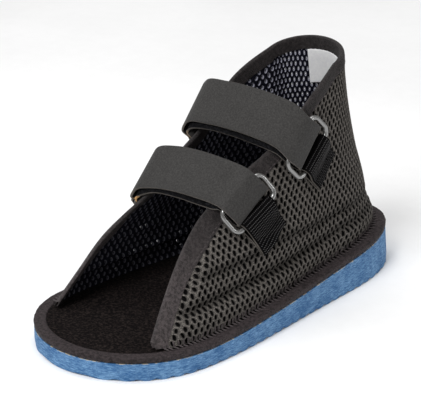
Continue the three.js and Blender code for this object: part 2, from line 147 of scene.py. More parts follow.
# Rings, straps, tabs and label
RING_LONG = 38
RING_SHORT = 18
RING_CORNER = 5
RING_BAR = 3.4
RING_BULGE = 0.4
RING_FEEL = 12
STRAP_WIDTH = 31
STRAP_THICK = 1.6
STRAP_LIFT = 2.4
STRAP_LOOP = RING_BAR + STRAP_THICK + 2 * GAP
STRAP_CLEAR = 3.6
STRAP_PARTED = RING_SHORT / 2 + STRAP_CLEAR
STRAP_TAIL = 28
STRAP_TAIL_LAYER = 2.5
STRAP_SETTLE = 8
PATH_STEPS = 24
CORE_OUT = 5
CORE_UP = 3
CORE_REACH = 4
CORE_FADE = 1.2
RING_LIFT = STRAP_LIFT + STRAP_LOOP / 2
TAB_WIDTH = 27
TAB_THICK = 1.5
TAB_LENGTH = 23
TAB_SLACK = 0.4
TAB_SETTLE = 14
TAB_WRAP = RING_BAR / 2 + GAP + TAB_SLACK + TAB_THICK / 2
TAB_BOW = math.pi * TAB_WRAP
TAB_RUN = 2 * TAB_LENGTH + TAB_BOW
HOOK_MARGIN = 1.6
HOOK_END = 1
HOOK_ROOT = 0.1
HOOK_HEIGHT = 0.75
HOOK_WIRE = 0.24
HOOK_FEEL = 0.002
HOOK_CROOK = [(0, 0), (0.7, 0), (1, 0.2), (0.85, 0.5)]
LABEL_WIDTH = 31
LABEL_HEIGHT = 24
LABEL_THICK = 0.6
LABEL_CURL = 0.5

# Edges of cloth, and stitches: running ones on the edge tape, and overlock ones by reach and lift on the rim
# and by height on the wall
CLOTH_ROUND = 0.35
CLOTH_ROUND_SHARE = 0.3
CLOTH_EDGE = 60
THREAD_TIP = 0.45
DASH_START = 6
DASH_SHARE = 0.62
DASH_RISE = 1.4
DASH_PROUD = 0.1
DASH_DIP = 0.25
DASH_FINENESS = 0.6
OVERLOCK_START = 4
OVERLOCK_ON_RIM = [(4.4, 0.3), (3.4, 0.42)]
OVERLOCK_ON_WALL = [0.35, 1, 2, 3, 3.9]
OVERLOCK_PROUD = 0.55
OVERLOCK_SWAY = np.array([0.25, 0.25, 0.075])

# Grain of the materials: usual range of an uneven value, sway of the roughness, and shares of the parts
NOISE = (0.3, 0.7)
ROUGH_SWAY = 0.08
BROAD_SCALE = 0.06
BROAD_SHARE = 0.3
TAPE_GRAIN = 520
SPECK_SHARE = 0.6

# Fullness of the sole outline: half width at a fraction of the length, before the ends are rounded off
SOLE_ROWS = [
    {"at": 0, "half": 98},
    {"at": 0.12, "half": 87.5},
    {"at": 0.3, "half": 69.5},
    {"at": 0.5, "half": 57.5},
    {"at": 0.7, "half": 53},
    {"at": 0.88, "half": 58.5},
    {"at": 1, "half": 66},
]

# Free edge of the wall along the shoe: half opening and height at a station Y
EDGE_ROWS = [
    {"at": -108, "half": 45, "height": 17},
    {"at": -92, "half": 39.5, "height": 38},
    {"at": -76, "half": 35, "height": 57},
    {"at": -60, "half": 30, "height": 70.5},
    {"at": -44, "half": 26.5, "height": 80.5},
    {"at": -22, "half": 27.5, "height": 92.5},
    {"at": -8, "half": 30, "height": 102},
    {"at": 6, "half": 31.5, "height": 109},
    {"at": 26, "half": 34, "height": 123},
    {"at": 40, "half": 35, "height": 135.5},
    {"at": 54, "half": 33.5, "height": 144},
    {"at": COLLAR_Y, "half": 29, "height": 153},
]

# Swell of the wall at a height above the footbed: bottom roll, valley fold, ridge fold and upper wall
FOLD_ROWS = [
    {"at": 0, "toe": 0, "instep": 0, "heel": 0},
    {"at": 6, "toe": 2.8, "instep": 2.6, "heel": 1.5},
    {"at": 12.5, "toe": 4.6, "instep": 4, "heel": 2},
    {"at": 16.5, "toe": 1.4, "instep": -0.2, "heel": -0.2},
    {"at": 21, "toe": 3, "instep": 1.2, "heel": -0.3},
    {"at": 37, "toe": 8, "instep": 5.4, "heel": -0.4},
    {"at": 44, "toe": 7.2, "instep": 4.2, "heel": -0.8},
    {"at": 60, "toe": 6, "instep": 2.6, "heel": -2},
    {"at": 95, "toe": 3, "instep": 1, "heel": -2},
    {"at": 140, "toe": 0, "instep": 0, "heel": 0},
]
FOLD_TOE_Y = -70
FOLD_INSTEP_Y = -10
FOLD_HEEL_Y = 72

# Creases along each side of the wall: height above the foot at runs from the front to the heel
CREASES = [
    [(10, 13.5), (36, 16.6), (66, 16.1), (108, 15.7), (144, 16.2), (180, 15.4), (208, 13), (243, 11)],
    [(30, 33), (77, 31), (114, 34), (158, 28.2), (214, 23.5), (243, 22)],
]
CREASE_DEPTH = 1.4
CREASE_HALF = 1.8
CREASE_FADE_IN = 20
CREASE_HEEL_RUN = 180
CREASE_HEEL_LOSS = 0.4

# Straps: how worn the far bend is, place and lie of ring, fold and far end, crossing of the near edge,
# arch of the top layer, and the drop from there to the lower layer
STRAPS = [
    {
        "name": "front",
        "worn": 1.0,
        "ring": {"y": -17, "z": 82.7, "rise": 30},
        "fold": {"down": 3.4, "rise": 36},
        "cross": {"y": -26, "out": 2.2, "up": 5.9, "drop": 3.4},
        "far": {"y": -38, "rise": 48},
        "arch": [
            {"x": -19, "y": -35, "z": 98, "drop": 3.2},
            {"x": 0, "y": -33, "z": 99.7, "drop": 3.6},
            {"x": 19, "y": -30, "z": 98.7, "drop": 4.2},
        ],
        "bend": {"out": 9.8, "shoulder": 4, "up": 11, "drop": 4.2},
    },
    {
        "name": "rear",
        "worn": 0.3,
        "ring": {"y": 33, "z": 108.7, "rise": 44},
        "fold": {"down": 1.6, "rise": 49},
        "cross": {"y": 20, "out": 1.5, "up": 6.4, "drop": 3.8},
        "far": {"y": 13, "rise": 52},
        "arch": [
            {"x": -20, "y": 13, "z": 129.5, "drop": 3.8},
            {"x": 0, "y": 14, "z": 130.2, "drop": 4},
            {"x": 20, "y": 15.5, "z": 129.2, "drop": 4.4},
        ],
        "bend": {"out": 9.8, "shoulder": 5, "up": 13, "drop": 4.3},
    },
]

# Floor, light and camera of the product view
FLOOR_SIZE = 8
WORLD_LIGHT = 0.36
LIGHTS = [
    {"name": "key", "place": (0.28, -1.35, 1.62), "size": 0.8, "power": 30},
    {"name": "side", "place": (1.45, 0.9, 0.65), "size": 0.4, "power": 4.5},
    {"name": "top", "place": (-0.3, 0.2, 1.8), "size": 1.1, "power": 14},
]
CAMERA_TURN = 44.83
CAMERA_RISE = 21.52
CAMERA_DISTANCE = 1376.6
CAMERA_TARGET = (0, 0, 60)
CAMERA_LENS = 182.65
CAMERA_SHIFT = (-0.0333, 0.0150)


# Sizes and colours that a user would change

def length(name, description, millimetres):
    """A length in metres with its default in millimetres."""
    return FloatProperty(
        name=name, description=description, default=millimetres * MM, min=0, unit="LENGTH", subtype="DISTANCE"
    )


def colour(name, description, value):
    """A linear colour."""
    return FloatVectorProperty(
        name=name, description=description, default=value, min=0, max=1, size=3, subtype="COLOR"
    )


class ShoeSizes(bpy.types.PropertyGroup):
    """Sizes of the fine detail on the shoe."""

    hole_pitch: length("Hole pitch", "Distance between the holes of the mesh along a row", 4.9)
    row_pitch: length("Row pitch", "Distance between the rows of holes", 3.75)
    hole_width: length("Hole width", "Width of a hole along the row", 1.9)
    hole_height: length("Hole height", "Height of a hole up the wall", 3.3)
    tread_pitch: length("Tread pitch", "Distance between the ripples under the sole", 9)
    tread_depth: length("Tread depth", "Depth of the ripples under the sole", 1.2)
    stitch_pitch: length("Stitch pitch", "Distance between the overlock stitches on the rim", 3.2)
    dash_pitch: length("Dash pitch", "Distance between the running stitches on the edge tape", 3.2)
    thread: length("Thread", "Thickness of the sewing thread", 0.9)
    tape_cloth: length("Tape cloth", "Thickness of the cloth of the edge tape", 0.6)
    hook_pitch: length("Hook pitch", "Distance between the hooks along a row on the webbing", 1.25)
    hook_row: length("Hook rows", "Distance between the rows of hooks", 1.85)


class ShoeColours(bpy.types.PropertyGroup):
    """Colours of the shoe's materials."""

    foam: colour("Foam", "Closed-cell foam of the sole", (0.028, 0.11, 0.268))
    foam_streak: colour("Foam streak", "Lighter streaks on the side of the foam", (0.2, 0.38, 0.61))
    glue: colour("Glue line", "Cream line where the foam meets the rim", (0.62, 0.53, 0.38))
    felt: colour("Felt", "Felt of the footbed", (0.0042, 0.0034, 0.0036))
    felt_fleck: colour("Felt fleck", "Brown fibres in the felt", (0.04, 0.03, 0.027))
    rim_tape: colour("Rim tape", "Tape round the footbed", (0.03, 0.0235, 0.0245))
    mesh: colour("Mesh", "Strands of the spacer mesh", (0.022, 0.0202, 0.0192))
    # Painted highlight on the proud crests of the strands.
    mesh_highlight: colour("Mesh light", "Light strands of the spacer mesh", (0.23, 0.21, 0.19))
    # Painted light through the holes, on the rims of the holes on the inner face.
    mesh_backlight: colour("Mesh pale", "Rims of the holes on the inner face", (0.46, 0.46, 0.55))
    mesh_lining: colour("Mesh lining", "Inner face of the spacer mesh", (0.008, 0.008, 0.014))
    edge_tape: colour("Edge tape", "Tape over the edge of the wall", (0.056, 0.047, 0.0472))
    strap: colour("Strap", "Outer face of the straps", (0.0247, 0.0236, 0.0227))
    loop: colour("Loop", "Loop pile inside the folded straps", (0.0035, 0.0035, 0.004))
    selvedge: colour("Selvedge", "Cut edge of the straps", (0.105, 0.095, 0.085))
    core: colour("Core", "Tan core in the cut edge of the straps", (0.68, 0.41, 0.18))
    ring: colour("Ring", "Moulded rings", (0.05, 0.0485, 0.045))
    webbing: colour("Webbing", "Hook webbing of the tabs", (0.003, 0.0028, 0.003))
    hook: colour("Hooks", "Hooks on the webbing of the tabs", (0.06, 0.057, 0.058))
    label: colour("Label", "Satin of the blank label", (0.97, 0.97, 1.0))
    floor: colour("Floor", "Studio floor", (0.92, 0.92, 0.92))


# Shape of the shoe, in millimetres

def smoothstep(value, low, high):
    """Smooth rise from 0 at low to 1 at high."""
    share = np.clip((np.asarray(value, float) - low) / (high - low), 0, 1)
    return share * share * (3 - 2 * share)


def lerp(start, end, share):
    """Straight blend from start to end."""
    return start + (end - start) * share


def unit(vectors):
    """Vectors brought to a length of 1."""
    return vectors / np.linalg.norm(vectors, axis=-1, keepdims=True)


def lengths_along(line):
    """Length from the start of a line to each of its points."""
    return np.concatenate([[0], np.cumsum(np.linalg.norm(np.diff(line, axis=0), axis=1))])


def between(at, places, points):
    """Points on a line at given places along it."""
    return np.stack([np.interp(at, places, column) for column in points.T], axis=-1)


def along(rows, at, column):
    """Smooth value of one column of a table at given places."""
    places = np.array([row["at"] for row in rows], float)
    values = np.array([row[column] for row in rows], float)
    index = np.arange(len(rows))
    after = np.minimum(index + 1, len(rows) - 1)
    before = np.maximum(index - 1, 0)
    slopes = (values[after] - values[before]) / (places[after] - places[before])
    at = np.asarray(at, float)
    i = np.searchsorted(places[1:-1], at, side="left")
    span = places[i + 1] - places[i]
    t = np.clip((at - places[i]) / span, 0, 1)
    rise = t * t * (3 - 2 * t)
    lean = span * t * (1 - t)
    return lerp(values[i], values[i + 1], rise) + lean * ((1 - t) * slopes[i] - t * slopes[i + 1])


def outline(turn, inset):
    """Outline of the sole, moved in by a distance, at a turn of 0 at the toe, pi at the heel and back."""
    turn = np.asarray(turn, float)

    def bare(angle):
        share = (1 - np.cos(angle)) / 2
        half = np.sin(angle) * along(SOLE_ROWS, share, "half")
        return np.stack([half, SOLE_LENGTH * (share - 0.5)], axis=-1)

    run = unit(bare(turn + 0.01) - bare(turn - 0.01))
    inward = np.stack([-run[..., 1], run[..., 0]], axis=-1)
    return bare(turn) + np.asarray(inset, float)[..., None] * inward


def half_outline(inset):
    """Half outline from toe to heel on the +X side."""
    return outline(np.linspace(0, math.pi, OUTLINE_STEPS + 1), np.full(OUTLINE_STEPS + 1, inset, float))


def sole_top(y):
    """Height of the top of the foam sole: level at the toe, rising to the heel."""
    share = np.asarray(y, float) / SOLE_LENGTH + 0.5
    rise = np.clip((share - WEDGE_START) / (1 - WEDGE_START), 0, 1) ** WEDGE_POWER
    return lerp(SOLE_TOE_HEIGHT, SOLE_HEEL_HEIGHT, rise)


def wall_floor(y):
    """Height at which the wall stands on the rim."""
    return sole_top(y) + GAP + RIM_THICK + GAP


WALL_LINE = half_outline(WALL_INSET)
HEEL_LINE = WALL_LINE[WALL_LINE[:, 1] >= COLLAR_Y]
HEEL_LENGTHS = lengths_along(HEEL_LINE)


def side_ruling(y, side):
    """Foot, edge and outward direction of the side wall at a station."""
    y = np.asarray(y, float)
    zero = np.zeros_like(y)
    foot_half = np.interp(y, WALL_LINE[:, 1], WALL_LINE[:, 0])
    foot = np.stack([side * foot_half, y, wall_floor(y)], axis=-1)
    edge = np.stack([side * along(EDGE_ROWS, y, "half"), y, along(EDGE_ROWS, y, "height")], axis=-1)
    out = np.stack([zero + side, zero, zero], axis=-1)
    return foot, edge, out


def heel_ruling(turn):
    """Foot, edge and outward direction of the heel wall at a turn of 0 on the near side to pi on the far."""
    turn = np.asarray(turn, float)
    side = np.where(np.cos(turn) < 0, -1, 1)
    reach = (1 - np.abs(turn / (math.pi / 2) - 1)) * HEEL_LENGTHS[-1]
    foot_x, foot_y = np.moveaxis(between(reach, HEEL_LENGTHS, HEEL_LINE), -1, 0)
    collar = EDGE_ROWS[-1]
    foot = np.stack([side * foot_x, foot_y, wall_floor(foot_y)], axis=-1)
    edge = np.stack(
        [
            collar["half"] * np.cos(turn),
            COLLAR_Y + COLLAR_DEPTH * np.sin(turn),
            collar["height"] + COLLAR_RISE * np.sin(turn),
        ],
        axis=-1,
    )
    out = np.stack([np.cos(turn), np.sin(turn), np.zeros_like(turn)], axis=-1)
    return foot, edge, out


def ruling(run):
    """Ruling of the wall at a run from the near front end, round the heel, to the far front end."""
    run = np.asarray(run, float)
    far = run > SIDE_RUN + HEEL_RUN
    on_heel = (run > SIDE_RUN) & ~far
    y = np.where(far, COLLAR_Y - (run - SIDE_RUN - HEEL_RUN), WALL_FRONT + run)
    sides = side_ruling(np.minimum(y, COLLAR_Y), np.where(far, -1.0, 1.0))
    heels = heel_ruling(np.clip((run - SIDE_RUN) / HEEL_RUN, 0, 1) * math.pi)
    return [np.where(on_heel[..., None], heel, side) for heel, side in zip(heels, sides)]


def rise_of(lines):
    """Height of the wall on a ruling, from its foot to its edge."""
    return lines[1][..., 2] - lines[0][..., 2]


def swell(foot_y, height, full):
    """Swell of the wall at a height above its foot, gone at the free edge and under its tape near the toe."""
    toe, instep, heel = [along(FOLD_ROWS, height, part) for part in ("toe", "instep", "heel")]
    front = lerp(toe, instep, smoothstep(foot_y, FOLD_TOE_Y, FOLD_INSTEP_Y))
    value = lerp(front, heel, smoothstep(foot_y, FOLD_INSTEP_Y, FOLD_HEEL_Y))
    flat = FLAT_FRONT * (1 - smoothstep(foot_y, FOLD_TOE_Y, FOLD_TOE_Y + FLAT_FRONT_RUN))
    return value * smoothstep(full - height - flat, 0, FOLD_FADE)


def on_ruling(lines, height, depth=0.0):
    """Point on a ruling at a height above its foot, at a depth in from the outer face."""
    foot, edge, out = lines
    full = rise_of(lines)
    bulge = swell(foot[..., 1], height, full) - depth
    return lerp(foot, edge, (height / full)[..., None]) + out * np.asarray(bulge)[..., None]


def creased(run, height):
    """How deep a point of the wall lies in the nearest crease, from 0 to 1, and how far in its shade."""
    from_front = np.minimum(run, WALL_RUN - run)
    softer = 1 - CREASE_HEEL_LOSS * smoothstep(from_front, CREASE_HEEL_RUN, WALL_RUN / 2)
    groove = np.zeros_like(run)
    shade = np.zeros_like(run)
    for crease in CREASES:
        runs, heights = np.transpose(crease)
        above = height - np.interp(from_front, runs, heights)
        fade = smoothstep(from_front, runs[0], runs[0] + CREASE_FADE_IN) * softer
        groove = np.maximum(groove, fade * np.exp(-(above / CREASE_HALF) ** 2))
        shade = np.maximum(shade, fade * np.exp(-((above - CREASE_HALF) / (2 * CREASE_HALF)) ** 2))
    return groove, shade


def climb_table():
    """Heights above the foot at even runs along the wall and even lengths up its surface."""
    runs = np.arange(0, WALL_RUN + TABLE_STEP, TABLE_STEP)
    climbs = np.arange(0, WALL_CLIMB, TABLE_STEP)
    rows = []
    for run in np.minimum(runs, WALL_RUN):
        lines = ruling(np.full(len(climbs), run))
        heights = np.linspace(0, 1, len(climbs)) * rise_of(lines)
        rows.append(np.interp(climbs, lengths_along(on_ruling(lines, heights)), heights))
    return np.array(rows)


def wall_height(table, run, climb):
    """Height above the foot at a run along the wall and a length up its surface."""
    across = np.clip(np.asarray(run, float) / TABLE_STEP, 0, len(table) - 1.001)
    upward = np.clip(np.asarray(climb, float) / TABLE_STEP, 0, table.shape[1] - 1.001)
    i = across.astype(int)
    j = upward.astype(int)
    low = lerp(table[i, j], table[i + 1, j], across - i)
    high = lerp(table[i, j + 1], table[i + 1, j + 1], across - i)
    return lerp(low, high, upward - j)


def tape_start(lines):
    """Height at which the edge tape begins on a ruling, measured across the tape."""
    edge_y = lines[1][..., 1]
    slope = (along(EDGE_ROWS, edge_y + 1, "height") - along(EDGE_ROWS, edge_y - 1, "height")) / 2
    climb = np.where(edge_y < COLLAR_Y, np.minimum(np.hypot(slope, 1), EDGE_TAPE_CLIMB), 1)
    return rise_of(lines) - EDGE_TAPE_WIDTH * climb


def tape_foot(lines):
    """Height of the edge tape's lower edge on a ruling, clear of the foot."""
    return np.maximum(tape_start(lines), TAPE_LOWEST)


def off_wall(y, z, side, lift, reach=WALL_FEEL):
    """Points off the side wall at stations and heights, with the wall's outward normals there."""
    y = np.asarray(y, float)
    z = np.asarray(z, float)

    def at(station, level):
        lines = side_ruling(station, float(side))
        return on_ruling(lines, np.minimum(level, lines[1][..., 2]) - lines[0][..., 2])

    ahead = at(y + reach, z) - at(y - reach, z)
    up = at(y, z) - at(y, z - reach)
    normal = unit(np.cross(ahead, up) * side)
    return at(y, z) + normal * np.asarray(lift, float)[..., None], normal


def near_frame(place):
    """Point on the near wall with its directions: along the shoe at a rise, down the wall and out from it."""
    point, normal = off_wall(place["y"], place["z"], 1, 0, RING_FEEL)
    rise = math.radians(place["rise"])
    level = np.array([0, math.cos(rise), math.sin(rise)])
    across = unit(level - normal * (level @ normal))
    return point, across, np.cross(across, normal), normal


def smooth_path(knots, count):
    """Evenly spaced points on a smooth curve through the knots."""
    knots = np.array(knots, float)
    reached = np.vstack([2 * knots[0] - knots[1], knots, 2 * knots[-1] - knots[-2]])
    share = np.linspace(0, 1, PATH_STEPS, endpoint=False)[:, None]
    stretches = []
    for i in range(len(knots) - 1):
        p0, p1, p2, p3 = reached[i:i + 4]
        before = math.sqrt(np.linalg.norm(p1 - p0))
        within = math.sqrt(np.linalg.norm(p2 - p1))
        after = math.sqrt(np.linalg.norm(p3 - p2))
        start = p2 - p1 + within * ((p1 - p0) / before - (p2 - p0) / (before + within))
        end = p2 - p1 + within * ((p3 - p2) / after - (p3 - p1) / (within + after))
        cubic = 2 * (p1 - p2) + start + end
        square = 3 * (p2 - p1) - 2 * start - end
        stretches.append(((cubic * share + square) * share + start) * share + p1)
    line = np.vstack([*stretches, knots[-1:]])
    lengths = lengths_along(line)
    return between(np.linspace(0, lengths[-1], count), lengths, line)


def ripple(*waves):
    """Gentle unevenness: a sum of waves, each given as a phase and a size."""
    return sum(size * np.sin(phase) for phase, size in waves)


# Making meshes

def start_piece():
    """Leave the solids and the earlier pieces unselected before a new piece is added."""
    if bpy.context.object and bpy.context.object.mode != "OBJECT":
        bpy.ops.object.mode_set(mode="OBJECT")
    bpy.ops.object.select_all(action="DESELECT")


def points_of(piece, scale=MM):
    """Points of a piece, in millimetres unless another scale is given."""
    flat = np.empty(len(piece.data.vertices) * 3)
    piece.data.vertices.foreach_get("co", flat)
    return flat.reshape(-1, 3) / scale


def move_points(piece, points):
    """Put the points of a piece in new places, in millimetres."""
    piece.data.vertices.foreach_set("co", (points * MM).ravel())
    piece.data.update()


def laid_grid(name, place, columns, rows):
    """A grid primitive whose points are laid by a function of their shares along both sides."""
    start_piece()
    bpy.ops.mesh.primitive_grid_add(x_subdivisions=columns, y_subdivisions=rows, size=1, calc_uvs=True)
    piece = bpy.context.object
    piece.name = name
    piece.data.name = name
    shares = points_of(piece, 1)[:, :2] + 0.5
    move_points(piece, place(shares[:, 0], shares[:, 1]))
    return piece


def mesh_piece(name, points, faces):
    """A mesh from an array of points in millimetres and a list of faces."""
    start_piece()
    mesh = bpy.data.meshes.new(name)
    mesh.from_pydata((points * MM).tolist(), [], faces)
    mesh.update()
    piece = bpy.data.objects.new(name, mesh)
    bpy.context.scene.collection.objects.link(piece)
    return piece


def activate(piece):
    """Make a piece the only selected and active one."""
    start_piece()
    piece.select_set(True)
    bpy.context.view_layer.objects.active = piece


def close_seams(piece, reach=0.002):
    """Merge points that meet and turn the faces out."""
    activate(piece)
    bpy.ops.object.mode_set(mode="EDIT")
    bpy.ops.mesh.select_all(action="SELECT")
    bpy.ops.mesh.remove_doubles(threshold=reach * MM)
    bpy.ops.mesh.normals_make_consistent(inside=False)
    bpy.ops.object.mode_set(mode="OBJECT")


def apply_modifier(piece, kind, **settings):
    """Add one modifier and apply it."""
    activate(piece)
    modifier = piece.modifiers.new(kind.title(), kind)
    for key, value in settings.items():
        setattr(modifier, key, value)
    bpy.ops.object.modifier_apply(modifier=modifier.name)


def soften(piece, angle=50):
    """Smooth shading except over sharp edges."""
    activate(piece)
    bpy.ops.object.shade_smooth_by_angle(angle=math.radians(angle))


def thicken(piece, thick, **settings):
    """Give a sheet its thickness to both sides, with slightly rounded edges."""
    apply_modifier(piece, "SOLIDIFY", thickness=thick * MM, offset=0, use_even_offset=True, **settings)
    apply_modifier(
        piece, "BEVEL", width=min(CLOTH_ROUND, thick * CLOTH_ROUND_SHARE) * MM, segments=2,
        limit_method="ANGLE", angle_limit=math.radians(CLOTH_EDGE),
    )
    soften(piece)


def tubes(paths, radius, sides=6):
    """Points and faces of round threads along many paths with the same number of points."""
    count, steps, _ = paths.shape
    run = unit(np.gradient(paths, axis=1))
    helper = np.where(np.abs(run[..., 2:]) > 0.8, [1.0, 0, 0], [0, 0, 1.0])
    side = unit(np.cross(run, helper))
    top = np.cross(side, run)
    angle = np.linspace(0, 2 * math.pi, sides, endpoint=False)[:, None]
    thin = np.ones(steps)
    thin[[0, -1]] = THREAD_TIP
    reach = (radius * thin)[None, :, None, None]
    ring = np.cos(angle) * side[:, :, None] + np.sin(angle) * top[:, :, None]
    points = (paths[:, :, None] + ring * reach).reshape(-1, 3)
    index = np.arange(count * steps * sides).reshape(count, steps, sides)
    around = np.roll(index, -1, axis=2)
    walls = np.stack([index[:, :-1], around[:, :-1], around[:, 1:], index[:, 1:]], axis=-1)
    faces = walls.reshape(-1, 4).tolist()
    for thread in index:
        faces.append(thread[0][::-1].tolist())
        faces.append(thread[-1].tolist())
    return points, faces


def finish(piece, *materials):
    """Give a piece its materials."""
    piece.data.materials.clear()
    for made in materials:
        piece.data.materials.append(made)


def attribute(piece, name, values):
    """A value for each point of a piece."""
    layer = piece.data.attributes.new(name, "FLOAT", "POINT")
    layer.data.foreach_set("value", np.asarray(values, np.float32))


def uv_from_points(piece, uv):
    """A UV map from a pair of values for each point."""
    mesh = piece.data
    corner = np.empty(len(mesh.loops), np.int32)
    mesh.loops.foreach_get("vertex_index", corner)
    layer = mesh.uv_layers.new(name="UVMap")
    layer.data.foreach_set("uv", np.asarray(uv, np.float32)[corner].ravel())


def ride(piece, slot, *nodes):
    """Fix a piece to the shoe and hide the solids that it stands for. The slot is not used."""
    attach(piece, "root")
    if nodes:
        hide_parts(*nodes)


def thread_piece(name, paths, radius, made, slot):
    """One finished mesh of many short threads."""
    piece = mesh_piece(name, *tubes(paths, radius))
    close_seams(piece)
    soften(piece)
    finish(piece, made)
    ride(piece, slot)
    return piece


# Nodes of the materials

def add(tree, kind, sockets=None, **settings):
    """A node with its settings, and with values or links in its sockets."""
    made = tree.nodes.new(kind)
    for name, value in settings.items():
        setattr(made, name, value)
    for name, value in (sockets or {}).items():
        if isinstance(value, bpy.types.NodeSocket):
            tree.links.new(value, made.inputs[name])
        else:
            made.inputs[name].default_value = value
    return made


def blend(tree, share, first, second):
    """Colour that runs from the first to the second with a share."""
    first, second = [end if isinstance(end, bpy.types.NodeSocket) else (*end, 1) for end in (first, second)]
    return add(tree, "ShaderNodeMix", {0: share, 6: first, 7: second}, data_type="RGBA").outputs[2]


def ramp(tree, value, low, high, start=0.0, end=1.0):
    """Value brought from one range to another and held inside it."""
    sockets = {"Value": value, "From Min": low, "From Max": high, "To Min": start, "To Max": end}
    return add(tree, "ShaderNodeMapRange", sockets).outputs["Result"]


def reckon(tree, operation, *values):
    """Result of one operation on values."""
    return add(tree, "ShaderNodeMath", dict(enumerate(values)), operation=operation).outputs[0]


def noise(tree, vector, scale, detail, roughness=0.5, distortion=0.0):
    """Uneven value over a vector."""
    sockets = {"Vector": vector, "Scale": scale, "Detail": detail}
    sockets.update({"Roughness": roughness, "Distortion": distortion})
    return add(tree, "ShaderNodeTexNoise", sockets).outputs["Fac"]


def stretched(tree, vector, scale):
    """Vector drawn out along its axes."""
    return add(tree, "ShaderNodeMapping", {"Vector": vector, "Scale": scale}).outputs["Vector"]


def held(tree, name):
    """Value that the points of a piece hold under a name."""
    return add(tree, "ShaderNodeAttribute", attribute_name=name).outputs["Fac"]


def shaded(base, factor):
    """A colour made lighter or darker."""
    return tuple(min(1.0, channel * factor) for channel in base)


def pattern_group(name, outputs, draw):
    """A node group that draws patterns over a vector at a scale, made once."""
    if name in bpy.data.node_groups:
        return bpy.data.node_groups[name]
    group = bpy.data.node_groups.new(name, "ShaderNodeTree")
    group.interface.new_socket(name="Vector", in_out="INPUT", socket_type="NodeSocketVector")
    group.interface.new_socket(name="Scale", in_out="INPUT", socket_type="NodeSocketFloat")
    for output in outputs:
        group.interface.new_socket(name=output, in_out="OUTPUT", socket_type="NodeSocketFloat")
    given = group.nodes.new("NodeGroupInput").outputs
    taken = group.nodes.new("NodeGroupOutput").inputs
    for output, value in zip(outputs, draw(group, given["Vector"], given["Scale"])):
        group.links.new(value, taken[output])
    return group


def draw_fibres(group, vector, scale):
    """Fibres and pile: a fine uneven grain, and a broad shade over it."""
    fine = noise(group, vector, scale, detail=3, roughness=0.7)
    broad = noise(group, vector, reckon(group, "MULTIPLY", scale, BROAD_SCALE), detail=2)
    return fine, broad


def draw_threads(group, vector, scale):
    """Woven threads: two crossed sets of ribs, and their uneven strength."""
    sockets = {"Vector": vector, "Scale": scale, "Distortion": 1.2, "Detail": 2.0, "Detail Scale": 1.5}
    warp = add(group, "ShaderNodeTexWave", sockets, bands_direction="X").outputs["Fac"]
    weft = add(group, "ShaderNodeTexWave", sockets, bands_direction="Y").outputs["Fac"]
    return reckon(group, "MULTIPLY", warp, weft), noise(group, vector, scale, detail=2)


def grained(tree, scale):
    """Coordinates of the piece, and the fibre grain over them."""
    place = add(tree, "ShaderNodeTexCoord").outputs
    fibres = pattern_group("fibre grain", ("Grain", "Broad"), draw_fibres)
    grain = add(tree, "ShaderNodeGroup", {"Vector": place["Object"], "Scale": scale}, node_tree=fibres)
    return place, grain.outputs


def start_material(name, roughness, sheen=0.0, specular=0.3):
    """A material with its shader, ready for nodes."""
    made = bpy.data.materials.new(name)
    made.use_nodes = True
    shader = made.node_tree.nodes["Principled BSDF"]
    shader.inputs["Roughness"].default_value = roughness
    shader.inputs["Sheen Weight"].default_value = sheen
    shader.inputs["Sheen Roughness"].default_value = 0.5
    shader.inputs["Specular IOR Level"].default_value = specular
    return made, made.node_tree, shader


def dress(tree, shader, tone, height, relief, rough=None):
    """Give a shader its colour, its relief in millimetres and its uneven roughness."""
    bump = add(tree, "ShaderNodeBump", {"Height": height, "Distance": relief * MM})
    tree.links.new(tone, shader.inputs["Base Color"])
    tree.links.new(bump.outputs["Normal"], shader.inputs["Normal"])
    if rough is not None:
        tree.links.new(rough, shader.inputs["Roughness"])


# Finishes

def fibre_finish(name, base, light, scale, relief, roughness, sheen=0.0, low=0.35, high=0.7, specular=0.2):
    """Cloth or pile: colour from dark to light with the grain, and relief of the same grain."""
    made, tree, shader = start_material(name, roughness, sheen, specular)
    _, grain = grained(tree, scale)
    fine = blend(tree, ramp(tree, grain["Grain"], low, high), base, light)
    broad = blend(tree, ramp(tree, grain["Broad"], *NOISE), shaded(base, 0.75), shaded(base, 1.15))
    rough = ramp(tree, grain["Grain"], *NOISE, roughness + ROUGH_SWAY, roughness - ROUGH_SWAY)
    dress(tree, shader, blend(tree, BROAD_SHARE, fine, broad), grain["Grain"], relief, rough)
    return made


def woven_finish(name, base, light, threads, relief, roughness, sheen=0.0, shade=0.5, specular=0.2, painted_shade=0.0):
    """Woven tape: ribs along the piece's own UV map, a grain as dark as the shade, and, when asked for,
    painted shade where the piece's values mark it as shaded.
    """
    made, tree, shader = start_material(name, roughness, sheen, specular)
    place, grain = grained(tree, TAPE_GRAIN)
    weave = add(
        tree, "ShaderNodeGroup", {"Vector": stretched(tree, place["UV"], (*threads, 1)), "Scale": 1},
        node_tree=pattern_group("woven threads", ("Height", "Shade"), draw_threads),
    ).outputs
    ribs = blend(tree, ramp(tree, weave["Height"], 0.05, 0.6), shaded(base, 0.2 + shade), light)
    specks = blend(tree, ramp(tree, grain["Grain"], 0.4, 0.62), shaded(base, shade), light)
    tone = blend(tree, SPECK_SHARE, ribs, specks)
    # Painted shade: the tone darkens where the piece's values fall to 0.
    if painted_shade:
        tone = blend(tree, ramp(tree, held(tree, "unshaded"), 0, 1, painted_shade, 0), tone, (0, 0, 0))
    rough = ramp(tree, weave["Shade"], *NOISE, roughness - ROUGH_SWAY, roughness + ROUGH_SWAY)
    dress(tree, shader, tone, weave["Height"], relief, rough)
    return made


